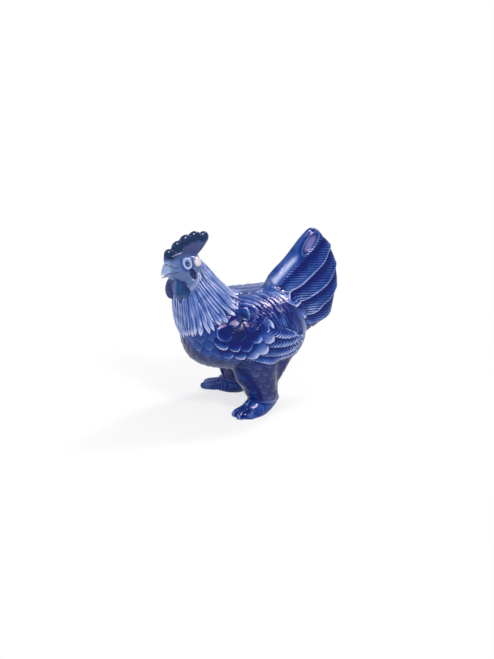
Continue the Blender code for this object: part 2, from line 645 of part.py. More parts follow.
def cut_soles(obj):
    """Cuts the feet off level, which leaves one flat face under each."""
    skin = bmesh.new()
    skin.from_mesh(obj.data)
    whole = skin.verts[:] + skin.edges[:] + skin.faces[:]
    cut = bmesh.ops.bisect_plane(skin, geom=whole, plane_co=(0, 0, 0), plane_no=(0, 0, 1), clear_inner=True)
    rim = [edge for edge in cut["geom_cut"] if isinstance(edge, bmesh.types.BMEdge)]
    bmesh.ops.holes_fill(skin, edges=rim)
    bmesh.ops.triangulate(skin, faces=skin.faces)
    skin.to_mesh(obj.data)
    skin.free()


def centred(obj):
    """Stands the middle of the box's base on the origin."""
    spots = np.empty(len(obj.data.vertices) * 3)
    obj.data.vertices.foreach_get("co", spots)
    spots = spots.reshape(-1, 3)
    middle = (spots.min(axis=0) + spots.max(axis=0)) / 2
    spots[:, :2] -= middle[:2]
    obj.data.vertices.foreach_set("co", spots.ravel())
    obj.data.update()


def glaze():
    """Cobalt blue glaze on white earthenware."""
    material = bpy.data.materials.new("cobalt_glaze")
    material.use_nodes = True
    shader = material.node_tree.nodes["Principled BSDF"]
    shader.inputs["Base Color"].default_value = (0.055, 0.095, 0.34, 1)
    shader.inputs["Roughness"].default_value = 0.12
    shader.inputs["Metallic"].default_value = 0.0
    return material


def main():
    for old in list(bpy.data.objects):
        bpy.data.objects.remove(old)
    skin = base_skin()
    feathered(skin)
    thin = skin.modifiers.new("thin", "DECIMATE")
    thin.ratio = TRIANGLES / (2 * len(skin.data.polygons))
    hen = as_mesh(skin)
    hen.name = "hen"
    hen.data.name = "hen"
    cut_soles(hen)
    centred(hen)
    hen.data.shade_smooth()
    hen.data.materials.append(glaze())
    group = bpy.data.collections.new("hen_figurine")
    bpy.context.scene.collection.children.link(group)
    group.objects.link(hen)
    bpy.context.scene.collection.objects.unlink(hen)


main()
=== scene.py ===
import math

import bpy
import numpy as np
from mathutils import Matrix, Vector


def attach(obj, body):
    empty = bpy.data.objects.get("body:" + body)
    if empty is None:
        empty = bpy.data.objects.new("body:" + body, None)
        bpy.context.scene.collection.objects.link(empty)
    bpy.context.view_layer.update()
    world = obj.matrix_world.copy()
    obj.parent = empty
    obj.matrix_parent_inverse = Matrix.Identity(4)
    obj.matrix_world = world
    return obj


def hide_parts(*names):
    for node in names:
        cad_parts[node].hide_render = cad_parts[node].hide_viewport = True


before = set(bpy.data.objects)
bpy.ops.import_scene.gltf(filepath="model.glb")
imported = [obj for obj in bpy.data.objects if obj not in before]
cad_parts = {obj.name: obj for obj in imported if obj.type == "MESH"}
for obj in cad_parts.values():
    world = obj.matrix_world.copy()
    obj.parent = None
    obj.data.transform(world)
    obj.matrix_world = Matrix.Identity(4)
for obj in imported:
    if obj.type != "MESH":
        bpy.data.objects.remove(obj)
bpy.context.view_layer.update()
print("frame loaded")

# Lengths are in millimetres until the last step, and the hen looks along -X.
millimetre = 0.001

form = dict(
    legLength=22.2, stance=34, thighWidth=25, ankleWidth=18,
    toeLength=19.6, toeWidth=7, toeHeight=4.2, footSplay=34, footTwist=17, toeSpread=16,
    bodyLength=80, bodyWidth=56, bodyDepth=46.6,
    neckLength=40.5, neckLean=18, neckWidth=21, capeWidth=43,
    headLength=18.4, headWidth=19.5, headHeight=18, beakLength=5.6,
    combLength=26, combHeight=11, combThickness=3.8, combLobes=5, lobeSize=7.6,
    wattleLength=13.5, wattleWidth=8.8, wattleThickness=4.2, wattleShift=1.6,
    tailLength=53.5, tailDepth=54, tailRootWidth=19, tailTipWidth=5, tailPitch=40,
)

bodyCentre = np.array([0.0, 0.0, form["legLength"] + form["bodyDepth"] / 2])
lean = math.radians(form["neckLean"])
neckUp = np.array([-math.sin(lean), 0.0, math.cos(lean)])
neckForward = np.array([-math.cos(lean), 0.0, -math.sin(lean)])
neckFoot = bodyCentre + np.array([-0.31 * form["bodyLength"], 0.0, 0.06 * form["bodyDepth"]])
headCentre = neckFoot + form["neckLength"] * neckUp
pitch = math.radians(form["tailPitch"])
tailOut = np.array([math.cos(pitch), 0.0, math.sin(pitch)])
tailUp = np.array([-math.sin(pitch), 0.0, math.cos(pitch)])
tailFoot = bodyCentre + np.array([0.22 * form["bodyLength"], 0.0, 0.05 * form["bodyDepth"]])
up = np.array([0.0, 0.0, 1.0])
boxMiddle = np.array([3.33, 2.45])  # of the hen's base, over which the frame has its origin


def step(value):
    # 0 below 0, 1 above 1, and 3v^2 - 2v^3 between.
    value = np.clip(value, 0, 1)
    return value * value * (3 - 2 * value)


def bell(value):
    # exp(-v^2): 1 at 0, and falling away on both sides.
    return np.exp(-(value**2))


def curveThrough(rows, count):
    # A Catmull-Rom curve through the rows, read at even steps of row number.
    rows = np.asarray(rows, float)
    ends = np.vstack([2 * rows[0] - rows[1], rows, 2 * rows[-1] - rows[-2]])
    place = np.linspace(0, len(rows) - 1, count)
    start = np.minimum(place.astype(int), len(rows) - 2)
    f = (place - start)[:, None]
    a, b, c, d = (ends[start + k] for k in range(4))
    curve = 2 * b + (c - a) * f + (2 * a - 5 * b + 4 * c - d) * f**2 + (3 * b - a - 3 * c + d) * f**3
    return 0.5 * curve


def loftSurface(stations, rise, rings=90, sides=96):
    # Superellipse sections about a line in the XZ plane: across = width |cos|^(2/p) and
    # along = reach |sin|^(2/p). A station is x, z, half width, reach with rise, reach against it, and p.
    rows = curveThrough(stations, rings)
    turn = np.linspace(0, 2 * math.pi, sides, endpoint=False)
    across, along = np.cos(turn), np.sin(turn)
    power = (2 / rows[:, 5])[:, None]
    wide = np.maximum(rows[:, 2:3], 0.02) * np.sign(across) * np.abs(across) ** power
    reach = np.where(along >= 0, np.maximum(rows[:, 3:4], 0.02), np.maximum(rows[:, 4:5], 0.02))
    tall = reach * np.sign(along) * np.abs(along) ** power
    return np.stack([rows[:, 0:1] + rise[0] * tall, wide, rows[:, 1:2] + rise[2] * tall], axis=2)


def tubeSurface(stations, ends=0.35, rings=60, sides=40):
    # Circles of a changing radius along a curve, closed at each end by a flattened half ball.
    rows = curveThrough(stations, rings)
    run = np.gradient(rows[:, :3], axis=0)
    run /= np.linalg.norm(run, axis=1)[:, None]
    bow = np.linspace(0, math.pi / 2, 9)[1:, None]
    caps = []
    for row, way, sign in ((rows[0], run[0], -1), (rows[-1], run[-1], 1)):
        caps.append(np.hstack([row[:3] + sign * ends * row[3] * np.sin(bow) * way, row[3] * np.cos(bow)]))
    rows = np.vstack([caps[0][::-1], rows, caps[1]])
    run = np.vstack([np.repeat(run[:1], len(bow), 0), run, np.repeat(run[-1:], len(bow), 0)])
    first = np.cross(run, [0.31, 0.94, 0.13])
    first /= np.linalg.norm(first, axis=1)[:, None]
    second = np.cross(run, first)
    turn = np.linspace(0, 2 * math.pi, sides, endpoint=False)[None, :, None]
    radius = np.maximum(rows[:, 3], 0.02)[:, None, None]
    return rows[:, None, :3] + radius * (np.cos(turn) * first[:, None] + np.sin(turn) * second[:, None])


def ballSurface(centre, size, turn=0.0, rings=28, sides=36):
    # An ellipsoid by its latitude and longitude, turned about Y.
    lat = np.linspace(-math.pi / 2 + 0.002, math.pi / 2 - 0.002, rings)[:, None]
    lon = np.linspace(0, 2 * math.pi, sides, endpoint=False)[None, :]
    x = size[0] / 2 * np.cos(lat) * np.cos(lon)
    y = size[1] / 2 * np.cos(lat) * np.sin(lon)
    z = size[2] / 2 * np.sin(lat) * np.ones_like(lon)
    c, s = math.cos(turn), math.sin(turn)
    return np.stack([centre[0] + c * x + s * z, centre[1] + y, centre[2] - s * x + c * z], axis=2)


def gridArrays(surfaces):
    # The corners of every surface in one list, and the quads of each closed grid.
    points, quads, start = [], [], 0
    for surface in surfaces:
        rings, sides = surface.shape[:2]
        index = start + np.arange(rings * sides).reshape(rings, sides)
        side = np.roll(index, -1, axis=1)
        quads.append(np.stack([index[:-1], side[:-1], side[1:], index[1:]], axis=2).reshape(-1, 4))
        points.append(surface.reshape(-1, 3))
        start += rings * sides
    return np.vstack(points), np.vstack(quads)


def meshObject(name, points, quads):
    mesh = bpy.data.meshes.new(name)
    mesh.vertices.add(len(points))
    mesh.vertices.foreach_set("co", np.asarray(points, np.float32).ravel())
    mesh.loops.add(quads.size)
    mesh.loops.foreach_set("vertex_index", np.asarray(quads, np.int32).ravel())
    mesh.polygons.add(len(quads))
    mesh.polygons.foreach_set("loop_start", np.arange(0, quads.size, 4, dtype=np.int32))
    mesh.polygons.foreach_set("loop_total", np.full(len(quads), 4, np.int32))
    mesh.update(calc_edges=True)
    mesh.validate()
    piece = bpy.data.objects.new(name, mesh)
    bpy.context.scene.collection.objects.link(piece)
    return piece


def evaluated(piece):
    # The mesh that the piece's modifiers give.
    bpy.context.view_layer.update()
    graph = bpy.context.evaluated_depsgraph_get()
    mesh = bpy.data.meshes.new_from_object(piece.evaluated_get(graph))
    bpy.data.objects.remove(piece)
    return mesh


def readAll(items, name, width, kind=np.float32):
    values = np.empty(len(items) * width, kind)
    items.foreach_get(name, values)
    return values.reshape(-1, width)


def meshPoints(mesh):
    return readAll(mesh.vertices, "co", 3).astype(float)


def meshQuads(mesh):
    return readAll(mesh.loops, "vertex_index", 1, np.int32).reshape(-1, 4)


mould = dict(
    softGrid=0.7,  # of the trunk, before its joins are smoothed
    softPasses=36,
    fineGrid=0.36,  # of the whole skin
    finePasses=7,
    quickCoarser=1.6,
    quickPasses=3,
    mostTriangles=190000,
)


def fused(name, points, quads, grid, passes):
    # One even skin round everything, with its joins softened.
    piece = meshObject(name, points, quads)
    remesh = piece.modifiers.new("fuse", "REMESH")
    remesh.mode = "VOXEL"
    remesh.voxel_size = grid
    smooth = piece.modifiers.new("soften", "SMOOTH")
    smooth.factor = 0.5
    smooth.iterations = passes
    return evaluated(piece)


def bodySurface():
    # Superellipse sections along X, in shares of half the body's length, width and depth:
    # x, middle, half width, reach up, reach down, and the power.
    x, width, depth = form["bodyLength"] / 2, form["bodyWidth"] / 2, form["bodyDepth"] / 2
    rows = [
        (-1.01, 0.12, 0.00, 0.00, 0.00, 2.0),
        (-0.96, 0.12, 0.20, 0.26, 0.30, 2.0),
        (-0.89, 0.10, 0.50, 0.60, 0.60, 2.0),
        (-0.71, 0.08, 0.77, 0.88, 0.81, 2.1),
        (-0.36, 0.02, 0.97, 1.00, 0.89, 2.2),
        (0.00, 0.00, 1.00, 1.00, 0.90, 2.3),
        (0.36, 0.00, 0.92, 0.98, 0.94, 2.2),
        (0.62, 0.00, 0.72, 0.88, 0.90, 2.1),
        (0.80, -0.04, 0.46, 0.62, 0.62, 2.0),
        (0.90, -0.06, 0.14, 0.22, 0.22, 2.0),
        (0.92, -0.06, 0.00, 0.00, 0.00, 2.0),
    ]
    middle = bodyCentre[2]
    stations = [
        (a * x, middle + b * depth, c * width, d * depth, e * depth, power) for a, b, c, d, e, power in rows
    ]
    return loftSurface(stations, up, rings=140)


def neckSurface():
    # Sections square to the neck's lean, from the crown down. A radius lies between the neck's and the
    # cape's by its share, and is taken times its own side, front and back.
    narrow, wide = form["neckWidth"] / 2, form["capeWidth"] / 2
    rows = [
        (1.13, 0.00, 0.00, 0.00, 0.00),
        (1.10, 0.00, 0.55, 0.45, 0.55),
        (1.00, 0.00, 0.80, 0.66, 0.92),
        (0.84, 0.08, 0.98, 0.76, 1.11),
        (0.64, 0.30, 1.08, 0.78, 1.14),
        (0.42, 0.60, 1.12, 0.76, 1.17),
        (0.20, 0.88, 1.08, 0.71, 1.12),
        (0.02, 1.00, 1.00, 0.66, 0.98),
        (-0.16, 1.00, 0.90, 0.60, 0.70),
        (-0.17, 1.00, 0.00, 0.00, 0.00),
    ]
    stations = []
    for along, spread, side, front, back in rows:
        radius = narrow + (wide - narrow) * spread
        middle = neckFoot + along * form["neckLength"] * neckUp
        stations.append((middle[0], middle[2], side * radius, front * radius, back * radius, 2.1))
    return loftSurface(stations, neckForward, rings=120)


def tailSurface():
    # Sections along the tail's run. Their top and bottom are shares of half its depth, and their half
    # thickness lies between the tip's and the root's by its share.
    thick, thin, half = form["tailRootWidth"] / 2, form["tailTipWidth"] / 2, form["tailDepth"] / 2
    rows = [
        (-0.08, 1.00, 0.20, -0.60),
        (0.06, 0.98, 0.56, -0.72),
        (0.19, 0.84, 0.80, -0.78),
        (0.34, 0.66, 0.87, -0.84),
        (0.48, 0.50, 0.88, -0.92),
        (0.60, 0.38, 0.91, -0.78),
        (0.72, 0.28, 0.95, -0.60),
        (0.84, 0.16, 0.98, -0.36),
        (0.94, 0.06, 0.97, -0.02),
        (0.99, 0.00, 0.84, 0.30),
        (1.00, -0.20, 0.52, 0.32),
    ]
    stations = []
    for along, swell, top, bottom in rows:
        middle = tailFoot + along * form["tailLength"] * tailOut + (top + bottom) / 2 * half * tailUp
        reach = (top - bottom) / 2 * half
        stations.append((middle[0], middle[2], thin + (thick - thin) * swell, reach, reach, 2.2))
    first = (stations[0][0] - 0.3, stations[0][1], 0, 0, 0, 2.2)
    last = (stations[-1][0] + 0.2, stations[-1][1], 0, 0, 0, 2.2)
    return loftSurface([first] + stations + [last], tailUp, rings=140)


# Rows down a leg and down the fluff behind it: x, y and z in shares of the body's length, half the
# stance and the legs' length, the share of the body's depth above that, and the radius.
knee, foot = form["thighWidth"] / 2, form["ankleWidth"] / 2
legRows = [
    (-0.02, 0.84, 1, 0.36, 0.90 * knee),
    (-0.02, 0.90, 1.20, 0, 1.04 * knee),
    (0, 0.96, 0.86, 0, 0.86 * knee),
    (0.015, 1, 0.60, 0, 1.02 * foot),
    (0.035, 1, 0.42, 0, 0.96 * foot),
    (0.035, 1, 0.26, 0, 0.60 * foot),
]
fluffRows = [
    (0.19, 0.60, 1, 0.24, 0.76 * knee),
    (0.12, 0.76, 1.12, 0, 0.66 * knee),
    (0.07, 0.92, 0.80, 0, 0.52 * knee),
    (0.072, 1, 0.53, 0, 0.48 * knee),
]


def legSurface(side, rows):
    # Circles along the rows.
    long, tall, depth = form["bodyLength"], form["legLength"], form["bodyDepth"]
    y = side * form["stance"] / 2
    return tubeSurface([(a * long, b * y, c * tall + d * depth, radius) for a, b, c, d, radius in rows])


def anklePlace(side):
    return np.array([0.02 * form["bodyLength"], side * form["stance"] / 2, 0.0])


def splay(side):
    return math.radians(form["footSplay"] + side * form["footTwist"])


# Rows of the share along a toe, and of its height and width.
toeRows = ((0, 1.60, 1.30), (0.30, 1.12, 1.10), (0.62, 0.64, 0.94), (0.88, 0.44, 0.76), (1, 0.38, 0.46))
heelRows = (
    (-0.56, 1.65, 0.85), (-0.38, 1.65, 1.35), (-0.10, 1.40, 1.80), (0.23, 0.95, 1.90), (0.50, 0.60, 1.60),
)


def toeSurface(side, turn, length, rise=1.0, rows=toeRows, ends=0.5):
    # Circles along a toe from the ankle to its claw, or from the heel through the foot's pad.
    ahead = np.array([-math.cos(turn), side * math.sin(turn), 0])
    stations = []
    for along, height, width in rows:
        x, y, _ = anklePlace(side) + along * length * ahead
        stations.append((x, y, rise * height * form["toeHeight"], width * form["toeWidth"] / 2))
    return tubeSurface(stations, ends)


def headSurface():
    # Superellipse sections along X, from the back of the head to the tip of the beak: x in shares of the
    # head's length and of the beak's, middle, half width, reach up, reach down, and the power.
    long, beak = form["headLength"], form["beakLength"]
    half, tall = form["headWidth"] / 2, form["headHeight"] / 2
    rows = [
        (0.52, 0, -0.02, 0, 0, 0, 2.0),
        (0.50, 0, -0.02, 0.30, 0.30, 0.40, 2.0),
        (0.36, 0, 0, 0.80, 0.80, 1.00, 2.0),
        (0.08, 0, 0, 1.00, 0.95, 1.20, 2.2),
        (-0.22, 0, 0, 0.98, 0.85, 1.05, 2.2),
        (-0.44, 0, 0, 0.76, 0.72, 0.74, 2.1),
        (-0.44, 0.30, 0, 0.52, 0.50, 0.56, 2.0),
        (-0.44, 0.62, -0.14, 0.34, 0.36, 0.40, 2.0),
        (-0.44, 0.88, -0.38, 0.17, 0.24, 0.22, 2.0),
        (-0.44, 1.00, -0.54, 0.06, 0.10, 0.06, 2.0),
        (-0.44, 1.02, -0.56, 0, 0, 0, 2.0),
    ]
    stations = []
    for a, b, c, d, e, f, power in rows:
        x, z = headCentre[0] + a * long - b * beak, headCentre[2] + c * tall
        stations.append((x, z, d * half, e * tall, f * tall, power))
    return loftSurface(stations, up, rings=110, sides=64)


def lobePlaces():
    # The middle of each of the comb's lobes, its size and its lean.
    base = headCentre[2] + 0.42 * form["headHeight"]
    f = np.arange(form["combLobes"]) / (form["combLobes"] - 1)
    x = headCentre[0] + (-0.318 + 0.752 * f) * form["combLength"]
    z = base + (-0.04 + 0.75 * np.sin(0.62 * math.pi * f)) * form["combHeight"]
    wide = form["lobeSize"] * (0.86 + 0.24 * np.sin(math.pi * f))
    return np.stack([x, z, wide, -0.5 + 0.9 * f], axis=1)


def combSurfaces():
    # A blade of superellipse sections over the head, and an ellipsoid for each lobe along its top.
    base = headCentre + np.array([0, 0, 0.42 * form["headHeight"]])
    half, long, tall = form["combThickness"] / 2, form["combLength"], form["combHeight"]
    rows = [
        (-0.45, -0.27, 0.00, 0.00, 0.00),
        (-0.44, -0.235, 0.70, 0.20, 0.22),
        (-0.33, -0.18, 0.95, 0.32, 0.36),
        (-0.19, -0.05, 1.00, 0.45, 0.50),
        (0.00, 0.14, 1.00, 0.58, 0.64),
        (0.23, 0.27, 1.00, 0.50, 0.54),
        (0.40, 0.41, 0.95, 0.32, 0.32),
        (0.51, 0.55, 0.70, 0.10, 0.10),
        (0.52, 0.56, 0.00, 0.00, 0.00),
    ]
    stations = [
        (base[0] + a * long, base[2] + b * tall, c * half, d * tall, e * tall, 2.6) for a, b, c, d, e in rows
    ]
    surfaces = [loftSurface(stations, up, rings=80, sides=56)]
    for x, z, wide, turn in lobePlaces():
        size = (wide, form["combThickness"] * 1.12, form["lobeSize"])
        surfaces.append(ballSurface((x, 0, z), size, turn))
    return surfaces


def wattleCentre(side):
    # The left one, whose side is -1, hangs a little higher than the right.
    hang = (-0.26 * form["headLength"], side * 0.24 * form["headWidth"], -0.30 * form["headHeight"])
    top = headCentre + np.array(hang)
    drop = -0.45 * form["wattleLength"] - side * form["wattleShift"]
    return top + np.array([0, side * 0.08 * form["wattleLength"], drop])


def wattleSurface(side):
    # An ellipsoid that leans a little.
    size = (form["wattleWidth"], form["wattleThickness"], form["wattleLength"])
    return ballSurface(wattleCentre(side), size, 0.12)


def plainSkin():
    # Everything in one skin: first the trunk, whose joins are soft, then with it the crisper pieces.
    soft = [bodySurface(), neckSurface(), tailSurface()]
    soft += [legSurface(side, rows) for rows in (legRows, fluffRows) for side in (-1, 1)]
    trunk = fused("trunk", *gridArrays(soft), mould["softGrid"], mould["softPasses"])
    crisp = [headSurface()] + combSurfaces()
    # Three toes and the webs between them: the share of the spread, the length and the height.
    toes = ((-1, 1.0, 1.0), (-0.5, 0.92, 0.72), (0, 1.0, 1.0), (0.5, 0.80, 0.72), (1, 0.77, 1.0))
    for side in (-1, 1):
        crisp.append(wattleSurface(side))
        length = form["toeLength"] * (1 + 0.09 * side)
        for k, share, rise in toes:
            toeTurn = splay(side) + k * math.radians(form["toeSpread"])
            crisp.append(toeSurface(side, toeTurn, length * share, rise))
        crisp.append(toeSurface(side, splay(side), form["toeLength"], rows=heelRows, ends=0.2))
    points, quads = gridArrays(crisp)
    trunkPoints, trunkQuads = meshPoints(trunk), meshQuads(trunk)
    points, quads = np.vstack([trunkPoints, points]), np.vstack([trunkQuads, quads + len(trunkPoints)])
    passes = mould["finePasses"]
    return fused("skin", points, quads, spacing, passes)


spacing = mould["fineGrid"] * 1.0
skinMesh = plainSkin()
points = meshPoints(skinMesh)
quads = meshQuads(skinMesh)
normals = readAll(skinMesh.vertices, "normal", 3).astype(float)
ends = readAll(skinMesh.edges, "vertices", 2, np.int32)
print("plain skin of", len(points), "points")

starts = np.concatenate([ends[:, 0], ends[:, 1]])
finishes = np.concatenate([ends[:, 1], ends[:, 0]])
degree = np.maximum(np.bincount(starts, minlength=len(points)), 1)


def spread(values, reach):
    # Each value drawn half way to its neighbours' mean, as often as it takes to reach so many millimetres.
    values = values.astype(float)
    columns = values[:, None] if values.ndim == 1 else values
    for _ in range(max(1, round(2 * (reach / spacing) ** 2))):
        columns = np.stack([
            0.5 * column + 0.5 * np.bincount(starts, column[finishes], len(points)) / degree
            for column in columns.T
        ], axis=1)
    return columns[:, 0] if values.ndim == 1 else columns


plumage = dict(
    hackleWidth=3.7, saddleWidth=5.2,
    scaleWidth=9.0, scaleRow=4.7, breastRadius=26,
    thighScale=6.0, thighRow=3.9, thighLowest=10.5,
    edgeBlend=0.42, seed=7,
)

# The places in which the feathers are laid out.
x, side, z = points[:, 0], np.abs(points[:, 1]), points[:, 2]
fromHead = points - headCentre
down, ahead = -fromHead @ neckUp, fromHead @ neckForward
turn = np.degrees(np.arctan2(side, ahead))  # round the neck, from its front
tailRun, tailRise = (points - tailFoot) @ tailOut, (points - tailFoot) @ tailUp
girth = np.arctan2(side, z - bodyCentre[2]) * form["bodyWidth"] / 2  # round the body, from the back
chance = np.random.default_rng(plumage["seed"])


def newPlume():
    names = ("height", "rim", "root", "phase", "barb", "tone", "across")
    return {name: np.zeros(len(points)) for name in names}


def keepHighest(plume, near, values):
    # Where the new height beats what is laid there already, the plumage takes the values.
    wins = values["height"] > plume["height"][near]
    for name, value in values.items():
        plume[name][near[wins]] = value[wins] if np.ndim(value) else value


def addFeather(plume, u, v, path, width, point, tip, level, lift, crown,
               tilt=0.0, barb=0.0, slant=0.6, rim=0.9, tone=0.0, waist=0.0):
    # One feather along a curve: its height is level + lift t + crown (1 - q^2) + tilt q, with t along it
    # from root to tip and q across it, and it falls to nothing at an outline that narrows as (1 - t'^a)^b.
    line = curveThrough(path, 33)
    near = (u > line[:, 0].min() - width) & (u < line[:, 0].max() + width)
    near &= (v > line[:, 1].min() - width) & (v < line[:, 1].max() + width)
    near = np.flatnonzero(near)
    if not len(near):
        return
    places = np.stack([u[near], v[near]], 1)
    start = ((places[:, None] - line[None, :-1]) ** 2).sum(2).argmin(1)
    run = line[start + 1] - line[start]
    size = np.hypot(run[:, 0], run[:, 1])
    gap = places - line[start]
    t = (start + (gap * run).sum(1) / size**2) / (len(line) - 1)
    across = (run[:, 0] * gap[:, 1] - run[:, 1] * gap[:, 0]) / size
    along = np.clip(t, 0, 1)
    taper = np.clip((t - 1 + point) / point, 0, 1.4)
    half = width / 2 * np.clip(1 - taper ** tip[0], 0, 1) ** tip[1] * (1 - waist * (1 - along) ** 2)
    half -= width * np.clip(taper - 1, 0, 1)
    q = across / (width / 2)
    edge = half - np.abs(across)
    inside = step(edge / plumage["edgeBlend"]) * step(t / 0.1)
    height = inside * (level + lift * along + crown * (1 - q * q) + tilt * q)
    long = np.hypot(*np.diff(line, axis=0).T).sum()
    keepHighest(plume, near, dict(
        height=height, rim=(1 - step(edge / rim)) * (0.25 + 0.75 * along), root=1 - along,
        phase=t * long + slant * np.abs(across), barb=barb, tone=tone, across=q,
    ))


def addRow(plume, u, v, tips, pitch, long, shift, point, lift, crown):
    # A row of like scales side by side along u. Their ends lie at v = tips and bow by point times q^2.
    cell = u / pitch - shift
    q = np.abs(2 * (cell - np.round(cell)))
    t = 1 - (tips - v) / long
    edge = np.minimum((1 - t) * long - point * q**2, (1 - q) * pitch / 2 + 0.35)
    inside = step(edge / plumage["edgeBlend"]) * step(t / 0.2)
    along = np.clip(t, 0, 1)
    keepHighest(plume, np.arange(len(points)), dict(
        height=inside * (lift * along + crown * (1 - q * q)), rim=1 - step(edge / 0.8), root=1 - along,
        phase=q * pitch * 0.9, barb=0.25,
    ))


def layPlume(under, over, where):
    for name in under:
        under[name] = np.where(where, over[name], under[name])


def blendPlume(under, over, mask):
    # The plumage under, with over laid on it where the mask is up.
    height = under["height"] * (1 - mask) + over["height"] * mask
    layPlume(under, over, mask > 0.5)
    under["height"] = height


# The neck: three overlapping layers of long hackles, from the face to the edge of the cape. Turns are
# degrees round the neck from its front, and the rest millimetres down from the middle of the head.
cape = dict(
    hemTurns=[0, 15, 40, 80, 95, 108, 122, 134, 148, 180],
    hemDown=[38.5, 37.5, 34.8, 34, 33, 32.3, 30.8, 28.8, 27.2, 26],
    longestTurns=[0, 15, 40, 80, 95, 122, 148, 180],
    longestDown=[38.5, 37.5, 34.8, 34, 33, 30.8, 27.2, 26],
    faceTurns=[0, 40, 67, 80, 90, 106, 128, 145, 180],
    faceDown=[13, 11.5, 10.2, 9.6, 8.4, 5.4, 0.8, -0.5, -1],
    startTurns=[0, 40, 67, 90, 106, 128, 180],
    startDown=[10, 9, 8, 6, 2.5, -1.5, -3],
    tipTurns=[0, 15, 36, 50, 70, 80, 95, 109, 119, 130, 147, 165, 180],
    rootTurns=[6, 36, 53, 64, 74, 78, 82, 91, 105, 125, 144, 163, 180],
    layers=((1.0, 17, 0.28), (0.93, 16, 0.36), (0.80, 14, 0.5)),  # share of the length, count, point
    sway=1.5, midRadius=19,
)
hem = np.interp(turn, cape["hemTurns"], cape["hemDown"])
faceEdge = np.interp(turn, cape["faceTurns"], cape["faceDown"])
arc = math.radians(1) * cape["midRadius"]  # millimetres of arc to a degree, half way down the neck
hackles = newPlume()
for layer, (share, count, point) in enumerate(cape["layers"]):
    for k in range(count):
        angle = 180 * (k + 0.5 * (layer % 2) + 0.22 * chance.uniform(-1, 1)) / (count - 0.5)
        bottom = np.interp(angle, cape["longestTurns"], cape["longestDown"])
        topAngle = np.interp(angle, cape["tipTurns"], cape["rootTurns"])
        top = np.interp(topAngle, cape["startTurns"], cape["startDown"])
        reach = top + (bottom - top) * share * (1 + (0.03 + 0.06 * (layer > 0)) * chance.uniform(-1, 1))
        part = (reach - top) / (bottom - top)
        tipAngle = topAngle + (angle - topAngle) * part
        sway = cape["sway"] * chance.uniform(-1, 1)
        path = [
            (topAngle * arc, top),
            ((0.62 * topAngle + 0.38 * tipAngle) * arc + sway, 0.6 * top + 0.4 * reach),
            ((0.25 * topAngle + 0.75 * tipAngle) * arc - 0.3 * sway, 0.25 * top + 0.75 * reach),
            (tipAngle * arc, reach),
        ]
        width = plumage["hackleWidth"] * (1.0 - 0.12 * layer) * (1 + 0.18 * chance.uniform(-1, 1))
        addFeather(hackles, turn * arc, down, path, width, point=point, tip=(1.5, 0.85),
                   level=0.10 + 0.10 * layer, lift=0.16, crown=0.80, rim=0.5, waist=0.15)
print("hackles laid")

# The breast and belly: rows of round scales below the cape.
breast = newPlume()
roundBreast = turn * math.radians(1) * plumage["breastRadius"]
for k in range(6):
    tips = hem + (k + 0.92) * plumage["scaleRow"] + 0.25 * k
    addRow(breast, roundBreast, down, tips, plumage["scaleWidth"], 1.75 * plumage["scaleRow"],
           0.5 * (k % 2), 0.36 * plumage["scaleWidth"], lift=0.55 - 0.04 * k, crown=0.32)
breastFade = step((-0.10 * form["bodyLength"] - x) / 4) * step((z - 0.95 * form["legLength"]) / 2)

# The thighs and the fluff behind them: faint scales, from the top row down.
thigh = newPlume()
for k in range(9):
    tips = -plumage["thighLowest"] - plumage["thighRow"] * (8 - k)
    addRow(thigh, x + 0.25 * z, -z, tips, plumage["thighScale"], 1.1 * plumage["thighScale"],
           0.5 * (k % 2), 0.4 * plumage["thighScale"], lift=0.17, crown=0.10)

# The folded wing, in the plane of x and the way round the body: quills below, then coverts in scales.
# A quill is its path, width and level, and a covert is its root, end, width, level and tone.
wing = newPlume()
quillPaths = [
    ([(-16, 49.6), (-3, 52.0), (10, 56.0), (24.5, 58.4)], 6.8, 0.25),
    ([(-9, 46), (3, 49.6), (14, 51.8), (27, 51.6)], 7.0, 0.55),
    ([(-3, 41.5), (5, 44.2), (15, 45.8), (27, 46.6)], 6.6, 0.85),
    ([(0, 34), (6, 38.2), (12, 40.4), (20, 43)], 6.6, 1.15),
]
for path, width, level in quillPaths:
    addFeather(wing, x, girth, path, width, point=0.42, tip=(2.0, 0.62), level=level, lift=0.45,
               crown=0.25, tilt=0.5, barb=1.9, slant=0.9, rim=1.2, tone=0.10)
coverts = [
    ((-24.5, 43), (-20.5, 51.5), 7.5, 0.5, 0.12), ((-18.5, 43), (-13.5, 52.0), 7.5, 0.6, 0.08),
    ((-12.5, 43), (-6, 51.8), 8.5, 0.8, -0.1), ((-8, 38.5), (-0.5, 49.6), 9.0, 1.0, -0.15),
    ((-5.5, 33), (3.4, 43.2), 9.0, 1.1, -0.15), ((-4.5, 28.5), (4.0, 36.2), 7.5, 1.2, -0.1),
    ((-26.5, 36), (-23.5, 45.5), 7.0, 0.9, 0.0), ((-20.5, 36), (-17.5, 46.6), 7.5, 1.0, 0.05),
    ((-14, 36), (-11.5, 47.0), 8.8, 1.15, 0.08), ((-9.5, 32), (-5, 42.6), 8.6, 1.25, 0.05),
    ((-23.5, 28.5), (-23, 40.0), 9.0, 1.3, 0.05), ((-16.8, 29), (-15.2, 40.2), 8.6, 1.4, 0.25),
    ((-10, 25.5), (-8.4, 36.0), 7.6, 1.45, 0.2), ((-18, 24), (-17, 32.8), 7.2, 1.6, 0.12),
    ((-11.5, 20.5), (-10.5, 29.8), 7.0, 1.65, 0.25),
]
